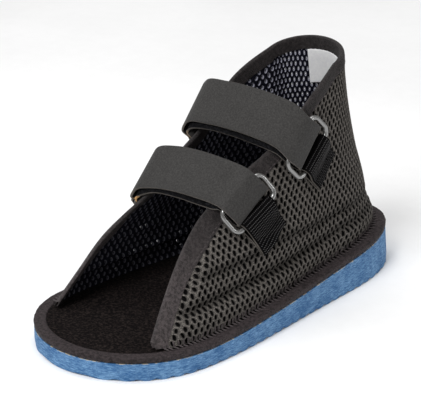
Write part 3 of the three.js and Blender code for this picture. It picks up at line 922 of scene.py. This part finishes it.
def foam_finish(colours):
    """Blue closed-cell foam: long streaks, sanding grain, small pores and a cream glue line at the top."""
    made, tree, shader = start_material("foam", roughness=0.78)
    place, grain = grained(tree, scale=1300)
    drawn = stretched(tree, place["Object"], (1.5, 1.5, 9))
    streaks = noise(tree, drawn, scale=170, detail=6, roughness=0.75, distortion=0.2)
    pores = add(tree, "ShaderNodeTexVoronoi", {"Vector": place["Object"], "Scale": 620}).outputs["Distance"]
    patches = ramp(tree, reckon(tree, "MULTIPLY_ADD", grain["Broad"], 0.3, streaks), 0.56, 0.82)
    streaked = blend(tree, patches, colours.foam, colours.foam_streak)
    pitted = blend(tree, ramp(tree, pores, 0.06, 0.22), shaded(colours.foam, 0.7), streaked)
    top = ramp(tree, reckon(tree, "MULTIPLY", held(tree, "rise"), streaks), 0.5, 0.56)
    rough = ramp(tree, grain["Grain"], *NOISE, 0.86, 0.68)
    height = reckon(tree, "ADD", grain["Grain"], streaks)
    dress(tree, shader, blend(tree, top, pitted, colours.glue), height, relief=0.25, rough=rough)
    return made


def net_finish(colours):
    """Spacer mesh: painted highlights on the strand crests outside, painted shade on the walls of the holes
    and above the creases, a dark lining inside with painted light through the holes on their pale rims.
    """
    made, tree, shader = start_material("mesh", roughness=0.7, specular=0.04)
    place, grain = grained(tree, scale=700)
    knit = stretched(tree, place["UV"], (2.6, 0.9, 1))
    strands = noise(tree, knit, scale=1, detail=3, roughness=0.65)
    sink = held(tree, "sink")
    # Painted shade: near black, for the walls of the holes and above the creases.
    dark = shaded(colours.mesh, 0.05)
    # Painted highlight on the proud crests of the strands, broken up by the yarn grain.
    crest = reckon(tree, "MULTIPLY", ramp(tree, sink, 0.05, -0.1), ramp(tree, strands, 0.38, 0.62))
    lit = blend(tree, crest, colours.mesh, colours.mesh_highlight)
    # Painted shade on the walls of the holes, near black as they sink in.
    walls = blend(tree, ramp(tree, sink, 0.03, 0.16), lit, dark)
    # Painted shade just above each crease, from the piece's shade values.
    folded = blend(tree, ramp(tree, held(tree, "shade"), 0, 1, 0, 0.55), walls, dark)
    # Painted light through the holes: pale rims on the inner flare, faint low on the wall and brighter
    # towards the collar.
    dim_rim = shaded(colours.mesh_backlight, 0.3)
    rims = blend(tree, ramp(tree, held(tree, "backlit"), 0, 1), dim_rim, colours.mesh_backlight)
    pale = blend(tree, ramp(tree, sink, 0.56, 0.84), folded, rims)
    lined = blend(tree, ramp(tree, sink, 0.86, 0.895), pale, colours.mesh_lining)
    rough = ramp(tree, grain["Grain"], *NOISE, 0.78, 0.6)
    height = reckon(tree, "ADD", strands, grain["Grain"])
    dress(tree, shader, lined, height, relief=0.3, rough=rough)
    return made


def core_finish(colours):
    """Cut edge of a strap: grey fibres, with the tan core bare where the strap bends hard."""
    made, tree, shader = start_material("strap edge", roughness=0.85)
    _, grain = grained(tree, scale=1500)
    light = shaded(colours.selvedge, 1.6)
    fibres = blend(tree, ramp(tree, grain["Grain"], 0.35, 0.7), colours.selvedge, light)
    core = blend(tree, ramp(tree, held(tree, "bare"), 0.2, 0.8), fibres, colours.core)
    dress(tree, shader, core, grain["Grain"], relief=0.2)
    return made


def ring_finish(colours):
    """Moulded rings: a soft sheen with faint scuffs."""
    made, tree, shader = start_material("ring", roughness=0.3, specular=1.0)
    shader.inputs["IOR"].default_value = 1.9
    shader.inputs["Coat Weight"].default_value = 0.8
    shader.inputs["Coat Roughness"].default_value = 0.12
    _, grain = grained(tree, scale=1600)
    scuffs = ramp(tree, grain["Broad"], 0.35, 0.7)
    tone = blend(tree, scuffs, shaded(colours.ring, 0.85), shaded(colours.ring, 1.3))
    rough = ramp(tree, grain["Broad"], *NOISE, 0.22, 0.34)
    dress(tree, shader, tone, grain["Grain"], relief=0.05, rough=rough)
    return made


# Sole, footbed and rim

def plate(name, inset, bottom, top, bevel, flare, stations):
    """A closed plate over the sole's outline, with sections from toe to heel that flare to the foot."""
    across = np.linspace(-1, 1, PLATE_ACROSS)
    level = np.linspace(0, 1, PLATE_LEVELS)
    foot = np.stack([across, 0 * across], axis=-1)
    right = np.stack([1 + 0 * level, level], axis=-1)
    roof = np.stack([across[::-1], 1 + 0 * across], axis=-1)
    left = np.stack([-1 + 0 * level, level[::-1]], axis=-1)
    section = np.vstack([foot, right[1:], roof[1:], left[1:]])

    def place(u, v):
        side, rise = section[np.rint(v * (len(section) - 1)).astype(int)].T
        half, y = outline(u * math.pi, np.full_like(u, inset)).T
        half = np.maximum(half, 0)
        flared = flare * smoothstep(y, SOLE_FLARE_Y, SOLE_FLARE_Y + SOLE_FLARE_RUN)
        half = half + flared * (1 - rise) * (half > 1)
        tuck = np.where(rise == 0, np.minimum(bevel, half / 2), 0)
        lift = np.where((rise > 0) & (rise < PLATE_LOW), bevel / 2, 0)
        z = lerp(bottom(y, side), top(y, side), rise) + lift
        return np.stack([side * (half - tuck), y, z], axis=-1)

    piece = laid_grid(name, place, columns=stations, rows=len(section) - 1)
    close_seams(piece)
    return piece


def make_sole(sizes, colours):
    """Foam sole with a wedge top and ripples underneath."""
    pitch = sizes.tread_pitch / MM
    depth = sizes.tread_depth / MM

    def tread(y, side):
        wave = 0.5 - 0.5 * np.cos(2 * math.pi * y / pitch)
        return depth * wave ** TREAD_POWER

    def top(y, side):
        return sole_top(y)

    piece = plate("sole", SOLE_INSET, tread, top, SOLE_BEVEL, SOLE_FLARE, SOLE_STATIONS)
    points = points_of(piece)
    attribute(piece, "rise", np.clip(points[:, 2] / sole_top(points[:, 1]), 0, 1) ** GLUE_POWER)
    soften(piece, angle=40)
    finish(piece, foam_finish(colours))
    ride(piece, "foam", "outsole")


def make_footbed(colours):
    """Felt footbed inside the taped rim."""
    def bottom(y, side):
        return sole_top(y) + GAP

    def top(y, side):
        uneven = ripple((y / 17 + side * 2, 0.25), (y / 7.3 - side * 5, 0.12))
        return sole_top(y) + GAP + FOOTBED_THICK - FELT_SINK + uneven

    piece = plate("footbed", RIM_WIDTH, bottom, top, 0, 0, FOOTBED_STATIONS)
    soften(piece, angle=60)
    felt = fibre_finish(
        "felt", colours.felt, colours.felt_fleck, scale=640, relief=0.8, roughness=0.95, low=0.46, high=0.7,
        specular=0.05,
    )
    finish(piece, felt)
    ride(piece, "felt", "insole")


def make_rim(colours):
    """Tape turned round the rim of the footbed."""
    def squared(value):
        return np.sign(value) * np.abs(value) ** (2 / RIM_SQUARE)

    def place(u, v):
        turn = 2 * math.pi * u
        wide = squared(np.cos(2 * math.pi * v))
        tall = squared(np.sin(2 * math.pi * v))
        pucker = ripple((turn * 90, 0.07), (turn * 37 + 1, 0.09)) * (1 + wide)
        rim = outline(turn, RIM_WIDTH / 2 - (RIM_WIDTH / 2 + pucker / 2) * wide)
        z = sole_top(rim[:, 1]) + GAP + RIM_THICK / 2 * (1 + tall) - RIM_DIP * wide
        return np.column_stack([rim, z])

    piece = laid_grid("rim_tape", place, columns=480, rows=24)
    close_seams(piece)
    soften(piece, angle=70)
    tape = woven_finish(
        "rim tape", colours.rim_tape, shaded(colours.rim_tape, 2.6), threads=(2200, 60), relief=0.12,
        roughness=0.68, shade=0.35,
    )
    finish(piece, tape)
    ride(piece, "rim_tape", "rim_binding")


# Mesh wall

def net_cells(pitch, row, table):
    """Centres of the mesh holes over the flat wall, as whole numbers of quarter pitches and sixth rows."""
    centres = []
    for j in range(int(WALL_CLIMB / row)):
        for i in range(int(WALL_RUN / pitch) + 1):
            centres.append((4 * i + 2 * (j % 2), 6 * j + 3))
    centres = np.array(centres)
    run = centres[:, 0] * pitch / 4
    middle = wall_height(table, run, centres[:, 1] * row / 6)
    start = wall_height(table, run, (centres[:, 1] - 3) * row / 6)
    lines = ruling(np.clip(run, 0, WALL_RUN))
    highest = rise_of(lines) - NET_EDGE
    inside = (run > NET_END) & (run < WALL_RUN - NET_END)
    covered = middle <= np.minimum(tape_start(lines) + NET_UNDER_TAPE, highest)
    return centres[inside & covered & (start < highest)]


def net_faces(levels, back):
    """Faces of the net: a band between the levels of each hole, and the outer rim down to the back."""
    around = np.roll(np.arange(len(CELL_CORNERS)), -1)
    faces = []
    for outer, inner in zip(levels[:-1], levels[1:]):
        bands = np.stack([outer, inner, inner[:, around], outer[:, around]], axis=-1)
        faces.append(bands.reshape(-1, 4))
    edges = np.stack([levels[0], levels[0][:, around]], axis=-1).reshape(-1, 2)
    _, first, count = np.unique(np.sort(edges, axis=1), axis=0, return_index=True, return_counts=True)
    start, end = edges[first[count == 1]].T
    faces.append(np.stack([start, end, end + back, start + back], axis=-1))
    return np.vstack(faces).tolist()


def flat_net(sizes, table):
    """Points of the net laid flat, their depths in the wall, and its faces, with a funnel at each hole."""
    pitch = sizes.hole_pitch / MM
    row = sizes.row_pitch / MM
    grid = [pitch / 4, row / 6]
    centres = net_cells(pitch, row, table)
    corners = len(CELL_CORNERS)
    keys = (centres[:, None] + np.array(CELL_CORNERS)).reshape(-1, 2)
    shared, index = np.unique(keys, axis=0, return_inverse=True)
    index = index.reshape(-1, corners)

    random = np.random.default_rng(7)
    uneven = 1 + random.normal(0, HOLE_UNEVEN, (len(centres), 1, 2))
    slant = random.normal(0, HOLE_SLANT, (len(centres), 1, 1)) * [[[1, 0]]]
    middle = centres * grid + random.normal(0, HOLE_SHIFT, (len(centres), 2))
    angle = np.arange(corners) * 2 * math.pi / corners
    oval = np.stack([np.sin(angle) * sizes.hole_width, np.cos(angle) * sizes.hole_height], axis=-1) / MM / 2

    flat = [shared * grid]
    depth = [np.full(len(shared), -STRAND_PROUD)]
    levels = [index]
    for level in HOLE_LEVELS:
        ring = oval * uneven * [level["wide"], level["tall"]]
        levels.append(sum(map(len, flat)) + np.arange(index.size).reshape(index.shape))
        flat.append((middle[:, None] + ring + ring[:, :, ::-1] * slant).reshape(-1, 2))
        depth.append(np.full(index.size, level["depth"]))
    back = sum(map(len, flat))
    levels.append(back + index)
    flat.append(flat[0])
    depth.append(np.full(len(shared), float(WALL_THICK)))
    return np.vstack(flat), np.concatenate(depth), net_faces(levels, back)


def make_upper(sizes, colours):
    """Wall of spacer mesh: a lattice of oval holes through both faces, from the near toe round the heel."""
    table = climb_table()
    flat, depth, faces = flat_net(sizes, table)
    run = np.clip(flat[:, 0], 0, WALL_RUN)
    lines = ruling(run)
    height = np.clip(wall_height(table, run, flat[:, 1]), NET_FOOT, rise_of(lines) - NET_TOP)
    taped = smoothstep(height, tape_start(lines) - NET_SQUEEZE_START, tape_start(lines) - NET_SQUEEZE_END)
    squeezed = NET_SQUEEZE + depth * (WALL_THICK - 2 * NET_SQUEEZE) / WALL_THICK
    groove, shade = creased(run, height)
    laid = lerp(depth, squeezed, taped) + CREASE_DEPTH * groove * (1 - taped)
    piece = mesh_piece("upper_mesh", on_ruling(lines, height, laid), faces)
    attribute(piece, "sink", depth / WALL_THICK)
    # Painted shade above each crease, read by the mesh material.
    attribute(piece, "shade", shade)
    # Painted light through the holes grows with height.
    attribute(piece, "backlit", smoothstep(height, BACKLIT_LOW, BACKLIT_HIGH))
    uv_from_points(piece, flat)
    close_seams(piece)
    soften(piece, angle=75)
    finish(piece, net_finish(colours))
    ride(piece, "mesh", "upper")


def make_edge_tape(sizes, colours):
    """Tape folded over the free edge of the wall, both lips on the mesh."""
    cloth = sizes.tape_cloth / MM
    bow = EDGE_TAPE_THICK / 2 - cloth / 2

    def place(u, v):
        lines = ruling(u * WALL_RUN)
        full = rise_of(lines)
        angle = math.pi * np.clip((v - TAPE_LIP) / TAPE_FOLD, 0, 1)
        lip = np.clip(np.where(v < 0.5, v, 1 - v) / TAPE_LIP, 0, 1)
        pucker = ripple((u * 300, 0.1), (u * 173 + v * 9, 0.12)) * (1 - lip) + ripple((u * 95 + v * 3, 0.08))
        height = np.minimum(lerp(tape_foot(lines), full - bow, lip), full - TAPE_CLEAR)
        height = height + (bow - TAPE_FLAT) * np.sin(angle)
        return on_ruling(lines, height, WALL_THICK / 2 - bow * np.cos(angle) - pucker * np.cos(angle))

    piece = laid_grid("edge_tape", place, columns=520, rows=30)
    thicken(piece, cloth)
    # Painted shade on the tape from behind the toe back to the collar and between the straps.
    attribute(piece, "unshaded", 1 - smoothstep(points_of(piece)[:, 1], UNSHADED_Y, SHADED_Y))
    tape = woven_finish(
        "edge tape", colours.edge_tape, shaded(colours.edge_tape, 2.2), threads=(2600, 90), relief=0.15,
        roughness=0.78, sheen=0.07, shade=0.45, specular=0.12, painted_shade=0.58,
    )
    finish(piece, tape)
    ride(piece, "edge_tape", "collar_binding")


# Straps, rings and tabs

def settle_on_far_wall(points, lift):
    """Points moved out where they lie on the far wall, so that they follow the wall at a lift."""
    edge = side_ruling(points[:, 1], -1.0)[1]
    below = edge[:, 2] - points[:, 2]
    laid, _ = off_wall(points[:, 1], points[:, 2], -1, lift)
    settled = lerp(points, laid, smoothstep(below, 0, STRAP_SETTLE)[:, None])
    settled = np.where((settled[:, :1] > laid[:, :1]), laid, settled)
    return np.where(((below < 0) | (points[:, 0] > 0))[:, None], points, settled)


def fold_place(strap):
    """Place on the near wall where a strap folds round its ring."""
    return {**strap["ring"], "rise": strap["fold"]["rise"]}


def far_side(strap):
    """Point of the far edge where a strap bends down, and the direction of its width there."""
    rise = math.radians(strap["far"]["rise"])
    edge = side_ruling(strap["far"]["y"], -1.0)[1]
    return edge, np.array([0, math.cos(rise), math.sin(rise)])


def strap_line(strap, count):
    """Middle line of a strap: up the far wall, over the instep, round the ring's upper bar and back."""
    point, _, down, normal = near_frame(fold_place(strap))
    far_edge, far_width = far_side(strap)
    cross = strap["cross"]
    bend = strap["bend"]
    near_edge = side_ruling(cross["y"], 1.0)[1]

    def near(along_down, lift):
        return point + down * along_down + normal * lift

    def tail(run, lift):
        return off_wall(strap["far"]["y"] + run * far_width[2], far_edge[2] - run * far_width[1], -1, lift)[0]

    def layer(lower, lift):
        out = lower * bend["drop"] - bend["out"]
        return [
            tail(STRAP_TAIL, lift),
            tail(STRAP_TAIL / 2, lift),
            far_edge + [out, 0, bend["shoulder"]],
            far_edge + [out / 2, 0, bend["up"] - lower * bend["drop"]],
            *[np.array([p["x"], p["y"], p["z"] - lower * p["drop"]]) for p in strap["arch"]],
            near_edge + [cross["out"], 0, cross["up"] - lower * cross["drop"]],
        ]

    turn = []
    for angle in np.linspace(-math.pi / 2, math.pi / 2, 6):
        fall = strap["fold"]["down"] + STRAP_LOOP / 2 * (math.cos(angle) - 1)
        turn.append(near(fall, RING_LIFT + STRAP_LOOP / 2 * math.sin(angle)))
    knots = [
        *layer(1, STRAP_LIFT),
        near(-STRAP_PARTED, STRAP_LIFT),
        *turn,
        near(-STRAP_PARTED, STRAP_LIFT + STRAP_LOOP),
        *layer(0, STRAP_LIFT + STRAP_TAIL_LAYER)[::-1],
    ]
    return smooth_path(knots, count)


def strap_place(strap, steps=600):
    """Function that lays a share along and across onto the strap's middle surface."""
    line = strap_line(strap, steps)
    point, across, _, _ = near_frame(fold_place(strap))
    far_edge, far_width = far_side(strap)
    share = np.clip((line[:, 0] - far_edge[0]) / (point[0] - far_edge[0]), 0, 1)[:, None]
    width = unit(lerp(far_width, across, share))

    def place(u, v):
        at = u * (steps - 1)
        middle = between(at, np.arange(steps), line)
        side = between(at, np.arange(steps), width)
        lift = np.where(u < 0.5, STRAP_LIFT, STRAP_LIFT + STRAP_TAIL_LAYER)
        return settle_on_far_wall(middle + side * STRAP_WIDTH * (v - 0.5)[:, None], lift)

    return place


def bare_core(strap, points):
    """How bare the tan core is at points of a strap: most at the lower layer's bend over the far edge."""
    far_edge, far_width = far_side(strap)
    bend = points - far_edge - [-CORE_OUT, 0, CORE_UP]
    bend = bend - (bend @ far_width)[:, None] * far_width
    return strap["worn"] * (1 - smoothstep(np.linalg.norm(bend, axis=1), CORE_REACH - CORE_FADE, CORE_REACH))


def make_straps(colours):
    """Soft straps, each one length folded back through its ring, pile inside the fold."""
    face = fibre_finish(
        "strap face", colours.strap, shaded(colours.strap, 2.1), scale=950, relief=0.3, roughness=0.76,
        sheen=0.1, low=0.38, high=0.66,
    )
    pile = fibre_finish(
        "strap pile", colours.loop, shaded(colours.loop, 9), scale=900, relief=0.8, roughness=0.95,
        low=0.48, high=0.72, specular=0.05,
    )
    edge = core_finish(colours)
    for strap in STRAPS:
        piece = laid_grid(f"strap_{strap['name']}_cloth", strap_place(strap), columns=300, rows=14)
        finish(piece, pile, face, edge)
        thicken(piece, STRAP_THICK, material_offset=1, material_offset_rim=2)
        attribute(piece, "bare", bare_core(strap, points_of(piece)))
        ride(piece, "strap", f"strap_{strap['name']}")
        run = np.linalg.norm(np.diff(strap_line(strap, 400), axis=0), axis=1).sum()


def flat_ring(name):
    """A round bar bent to a rounded rectangle, flat at the origin."""
    start_piece()
    bpy.ops.mesh.primitive_plane_add(size=1)
    piece = bpy.context.object
    piece.name = name
    piece.scale = (RING_LONG * MM, RING_SHORT * MM, 1)
    bpy.ops.object.transform_apply(location=True, rotation=True, scale=True)
    bpy.ops.object.mode_set(mode="EDIT")
    bpy.ops.mesh.select_all(action="SELECT")
    bpy.ops.mesh.bevel(offset=RING_CORNER * MM, segments=8, affect="VERTICES")
    bpy.ops.mesh.select_all(action="SELECT")
    bpy.ops.mesh.delete(type="ONLY_FACE")
    bpy.ops.object.mode_set(mode="OBJECT")
    bpy.ops.object.convert(target="CURVE")
    bar = bpy.context.object.data
    bar.dimensions = "3D"
    bar.bevel_depth = RING_BAR / 2 * MM
    bar.bevel_resolution = 4
    bpy.ops.object.convert(target="MESH")
    return bpy.context.object


def make_rings(colours):
    """Rounded rectangular rings with fuller short bars, lying on the near wall."""
    made = ring_finish(colours)
    straight = RING_SHORT / 2 - RING_CORNER
    for strap in STRAPS:
        piece = flat_ring(f"ring_{strap['name']}_bar")
        points = points_of(piece)
        middle = np.sign(points[:, :1]) * [[RING_LONG / 2, 0, 0]] + points * [[0, 1, 0]]
        fuller = RING_BULGE / (RING_BAR / 2) * np.clip(1 - np.abs(points[:, 1:2]) / straight, 0, 1)
        move_points(piece, points + (points - middle) * fuller)
        point, across, down, normal = near_frame(strap["ring"])
        centre = (point + normal * RING_LIFT) * MM
        turned = Matrix(np.stack([across, down, np.cross(across, down)], axis=-1).tolist()).to_4x4()
        piece.data.transform(Matrix.Translation(Vector(centre)) @ turned)
        close_seams(piece)
        soften(piece, angle=80)
        finish(piece, made)
        ride(piece, "ring", f"ring_{strap['name']}")


def tab_place(strap):
    """Function that lays a share along and across onto a tab's middle surface."""
    point, across, down, normal = near_frame(strap["ring"])
    wall_lift = GAP + TAB_SLACK + TAB_THICK / 2

    def place(u, v):
        run = u * TAB_RUN
        inner = run < TAB_RUN / 2
        angle = np.clip((run - TAB_LENGTH) / TAB_BOW, 0, 1) * math.pi
        in_bow = (run > TAB_LENGTH) & (run < TAB_LENGTH + TAB_BOW)
        fall = np.where(inner, TAB_LENGTH - run, run - TAB_LENGTH - TAB_BOW)
        fall = np.where(in_bow, -TAB_WRAP * np.sin(angle), fall)
        laid_lift = np.where(inner, wall_lift, wall_lift + (TAB_THICK + GAP))
        settled = smoothstep(fall, 0, TAB_SETTLE)
        lift = lerp(RING_LIFT - TAB_WRAP * np.cos(angle), laid_lift, settled)
        reach = (RING_SHORT / 2 + fall)[:, None]
        flat = point + across * TAB_WIDTH * (v - 0.5)[:, None] + down * reach
        laid, _ = off_wall(flat[:, 1], flat[:, 2], 1, lift)
        return lerp(flat + normal * lift[:, None], laid, settled[:, None])

    return place


def hook_paths(sizes, lay):
    """Middle lines of the hooks, in rows on the outer layer of a tab that a function lays."""
    rows = np.arange(HOOK_MARGIN, TAB_LENGTH + TAB_BOW / 3, sizes.hook_row / MM)
    columns = np.arange(HOOK_MARGIN - TAB_WIDTH / 2, TAB_WIDTH / 2 - HOOK_END, sizes.hook_pitch / MM)
    grid_row, grid_column = np.meshgrid(rows, columns, indexing="ij")
    u = 1 - grid_row.ravel() / TAB_RUN
    v = 0.5 + grid_column.ravel() / TAB_WIDTH
    ahead = lay(u + HOOK_FEEL, v) - lay(u - HOOK_FEEL, v)
    side = unit(lay(u, v + 5 * HOOK_FEEL) - lay(u, v - 5 * HOOK_FEEL))
    normal = unit(np.cross(ahead, side))
    base = lay(u, v) + normal * (TAB_THICK / 2 - HOOK_ROOT)
    crook = HOOK_HEIGHT * np.array(HOOK_CROOK)
    return np.stack([base + normal * rise + side * reach for rise, reach in crook], axis=1)


def make_tabs(sizes, colours):
    """Folded webbing that holds each ring, with rows of hooks on the outer layer."""
    cloth = woven_finish(
        "webbing", colours.webbing, shaded(colours.webbing, 2), threads=(150, 120), relief=0.2, roughness=0.9,
        specular=0.05,
    )
    edge = fibre_finish(
        "webbing edge", colours.selvedge, shaded(colours.selvedge, 1.5), scale=1500, relief=0.2, roughness=0.8
    )
    wire = fibre_finish(
        "hooks", colours.hook, shaded(colours.hook, 2.2), scale=1800, relief=0.1, roughness=0.45, specular=0.4
    )
    for strap in STRAPS:
        lay = tab_place(strap)
        piece = laid_grid(f"tab_{strap['name']}_webbing", lay, columns=80, rows=22)
        finish(piece, cloth, edge)
        thicken(piece, TAB_THICK, material_offset_rim=1)
        ride(piece, "webbing", f"tab_{strap['name']}")
        hooks = thread_piece(f"tab_{strap['name']}_hooks", hook_paths(sizes, lay), HOOK_WIRE, wire, "webbing")


# Label and stitching

def make_label(colours):
    """Blank satin label inside the heel, under the edge tape."""
    half_turn = LABEL_WIDTH / 2 / EDGE_ROWS[-1]["half"]

    def place(u, v):
        lines = heel_ruling(math.pi / 2 + half_turn * (2 * u - 1))
        height = tape_start(lines) - GAP - LABEL_HEIGHT * (1 - v)
        curl = LABEL_CURL * (1 - v) ** 2 * (1 + np.sin(u * 7))
        return on_ruling(lines, height, WALL_THICK + GAP + LABEL_THICK / 2 + curl)

    piece = laid_grid("blank_label", place, columns=36, rows=24)
    thicken(piece, LABEL_THICK)
    satin = woven_finish(
        "label satin", colours.label, shaded(colours.label, 1.05), threads=(150, 40), relief=0.05,
        roughness=0.45, sheen=0.35, shade=0.92,
    )
    finish(piece, satin)
    ride(piece, "label", "label")


def running_stitches(pitch):
    """Middle lines of the running stitches above the lower edge of the edge tape."""
    starts = np.arange(DASH_START, WALL_RUN - DASH_START, pitch)
    paths = []
    for share in np.linspace(0, DASH_SHARE, 4):
        lines = ruling(starts + share * pitch)
        dip = DASH_DIP * (2 * share / DASH_SHARE - 1) ** 2
        sunk = WALL_THICK / 2 - EDGE_TAPE_THICK / 2 - DASH_PROUD + dip
        paths.append(on_ruling(lines, tape_foot(lines) + DASH_RISE, sunk))
    return np.stack(paths, axis=1)


def overlock_stitches(pitch):
    """Middle lines of the overlock stitches, from the rim tape up over the foot of the wall."""
    run = np.arange(OVERLOCK_START, WALL_RUN - OVERLOCK_START, pitch)
    lines = ruling(run)
    foot, _, out = lines
    paths = [foot + out * reach + [0, 0, lift] for reach, lift in OVERLOCK_ON_RIM]
    for height in OVERLOCK_ON_WALL:
        paths.append(on_ruling(lines, np.full(len(run), height), -OVERLOCK_PROUD))
    sway = np.random.default_rng(11).normal(0, 1, (len(run), 1, 3)) * OVERLOCK_SWAY
    return np.stack(paths, axis=1) + sway


def make_stitching(sizes, colours):
    """Running stitches along the edge tape and overlock stitches along the rim."""
    radius = sizes.thread / MM / 2
    made = fibre_finish(
        "thread", shaded(colours.rim_tape, 1.4), shaded(colours.rim_tape, 3.5), scale=1500, relief=0.1,
        roughness=0.6, sheen=0.2,
    )
    running = running_stitches(sizes.dash_pitch / MM)
    thread_piece("tape_stitches", running, DASH_FINENESS * radius, made, "edge_tape")
    thread_piece("rim_stitches", overlock_stitches(sizes.stitch_pitch / MM), radius, made, "rim_tape")


# Stage

def make_stage(colours):
    """Pale floor, soft studio light and the camera of the product view."""
    scene = bpy.context.scene
    start_piece()
    bpy.ops.mesh.primitive_plane_add(size=FLOOR_SIZE)
    floor = bpy.context.object
    floor.name = "floor"
    paper = fibre_finish(
        "floor paper", colours.floor, shaded(colours.floor, 1.03), scale=60, relief=0.02, roughness=0.9
    )
    finish(floor, paper)

    world = bpy.data.worlds.new("studio")
    world.use_nodes = True
    background = world.node_tree.nodes["Background"]
    background.inputs["Color"].default_value = (1, 1, 1, 1)
    background.inputs["Strength"].default_value = WORLD_LIGHT
    scene.world = world
    scene.view_settings.view_transform = "Standard"

    target = Vector(CAMERA_TARGET) * MM
    for lamp in LIGHTS:
        bpy.ops.object.light_add(type="AREA", location=lamp["place"])
        light = bpy.context.object
        light.name = lamp["name"]
        light.data.size = lamp["size"]
        light.data.energy = lamp["power"]
        light.rotation_euler = (target - Vector(lamp["place"])).to_track_quat("-Z", "Y").to_euler()

    turn = math.radians(CAMERA_TURN)
    rise = math.radians(CAMERA_RISE)
    back = Vector((math.sin(turn) * math.cos(rise), -math.cos(turn) * math.cos(rise), math.sin(rise)))
    bpy.ops.object.camera_add(location=target + back * CAMERA_DISTANCE * MM)
    camera = bpy.context.object
    camera.rotation_euler = (-back).to_track_quat("-Z", "Y").to_euler()
    camera.data.lens = CAMERA_LENS
    camera.data.shift_x, camera.data.shift_y = CAMERA_SHIFT
    scene.camera = camera


# Operators and panel

class SHOE_OT_stage(bpy.types.Operator):
    """Add the floor, the light and the camera"""

    bl_idname = "shoe.stage"
    bl_label = "Stage"
    bl_options = {"REGISTER", "UNDO"}

    def execute(self, context):
        make_stage(context.scene.shoe_colours)
        return {"FINISHED"}


class SHOE_OT_sole(bpy.types.Operator):
    """Make the foam sole"""

    bl_idname = "shoe.sole"
    bl_label = "Foam sole"
    bl_options = {"REGISTER", "UNDO"}

    def execute(self, context):
        make_sole(context.scene.shoe_sizes, context.scene.shoe_colours)
        return {"FINISHED"}


class SHOE_OT_footbed(bpy.types.Operator):
    """Make the felt footbed and the tape round its rim"""

    bl_idname = "shoe.footbed"
    bl_label = "Footbed and rim"
    bl_options = {"REGISTER", "UNDO"}

    def execute(self, context):
        make_footbed(context.scene.shoe_colours)
        make_rim(context.scene.shoe_colours)
        return {"FINISHED"}


class SHOE_OT_upper(bpy.types.Operator):
    """Make the wall of spacer mesh"""

    bl_idname = "shoe.upper"
    bl_label = "Mesh wall"
    bl_options = {"REGISTER", "UNDO"}

    def execute(self, context):
        make_upper(context.scene.shoe_sizes, context.scene.shoe_colours)
        return {"FINISHED"}


class SHOE_OT_edge_tape(bpy.types.Operator):
    """Make the tape over the free edge"""

    bl_idname = "shoe.edge_tape"
    bl_label = "Edge tape"
    bl_options = {"REGISTER", "UNDO"}

    def execute(self, context):
        make_edge_tape(context.scene.shoe_sizes, context.scene.shoe_colours)
        return {"FINISHED"}


class SHOE_OT_straps(bpy.types.Operator):
    """Make the two straps"""

    bl_idname = "shoe.straps"
    bl_label = "Straps"
    bl_options = {"REGISTER", "UNDO"}

    def execute(self, context):
        make_straps(context.scene.shoe_colours)
        return {"FINISHED"}


class SHOE_OT_rings(bpy.types.Operator):
    """Make the two rings"""

    bl_idname = "shoe.rings"
    bl_label = "Rings"
    bl_options = {"REGISTER", "UNDO"}

    def execute(self, context):
        make_rings(context.scene.shoe_colours)
        return {"FINISHED"}


class SHOE_OT_tabs(bpy.types.Operator):
    """Make the webbing tabs"""

    bl_idname = "shoe.tabs"
    bl_label = "Webbing tabs"
    bl_options = {"REGISTER", "UNDO"}

    def execute(self, context):
        make_tabs(context.scene.shoe_sizes, context.scene.shoe_colours)
        return {"FINISHED"}


class SHOE_OT_label(bpy.types.Operator):
    """Make the blank label"""

    bl_idname = "shoe.label"
    bl_label = "Blank label"
    bl_options = {"REGISTER", "UNDO"}

    def execute(self, context):
        make_label(context.scene.shoe_colours)
        return {"FINISHED"}


class SHOE_OT_stitching(bpy.types.Operator):
    """Sew the seams"""

    bl_idname = "shoe.stitching"
    bl_label = "Stitching"
    bl_options = {"REGISTER", "UNDO"}

    def execute(self, context):
        make_stitching(context.scene.shoe_sizes, context.scene.shoe_colours)
        return {"FINISHED"}


STEPS = (
    SHOE_OT_stage, SHOE_OT_sole, SHOE_OT_footbed, SHOE_OT_upper, SHOE_OT_edge_tape, SHOE_OT_straps,
    SHOE_OT_rings, SHOE_OT_tabs, SHOE_OT_label, SHOE_OT_stitching,
)


class SHOE_PT_panel(bpy.types.Panel):
    """Sizes, colours and steps of the shoe"""

    bl_idname = "SHOE_PT_panel"
    bl_label = "Cast shoe"
    bl_space_type = "VIEW_3D"
    bl_region_type = "UI"
    bl_category = "Cast shoe"

    def draw(self, context):
        for step in STEPS:
            self.layout.operator(step.bl_idname)
        for group in (context.scene.shoe_sizes, context.scene.shoe_colours):
            for name in group.__annotations__:
                self.layout.prop(group, name)


CLASSES = (ShoeSizes, ShoeColours, *STEPS, SHOE_PT_panel)


def register():
    """Make the classes known and give each scene its sizes and colours."""
    for item in CLASSES:
        bpy.utils.register_class(item)
    bpy.types.Scene.shoe_sizes = PointerProperty(type=ShoeSizes)
    bpy.types.Scene.shoe_colours = PointerProperty(type=ShoeColours)


def unregister():
    """Take the sizes, the colours and the classes away again."""
    del bpy.types.Scene.shoe_colours
    del bpy.types.Scene.shoe_sizes
    for item in reversed(CLASSES):
        bpy.utils.unregister_class(item)


def main():
    """Make the shoe step by step."""
    register()
    bpy.ops.shoe.stage()
    bpy.ops.shoe.sole()
    bpy.ops.shoe.footbed()
    bpy.ops.shoe.upper()
    bpy.ops.shoe.edge_tape()
    bpy.ops.shoe.straps()
    bpy.ops.shoe.rings()
    bpy.ops.shoe.tabs()
    bpy.ops.shoe.label()
    bpy.ops.shoe.stitching()


if __name__ == "__main__":
    main()
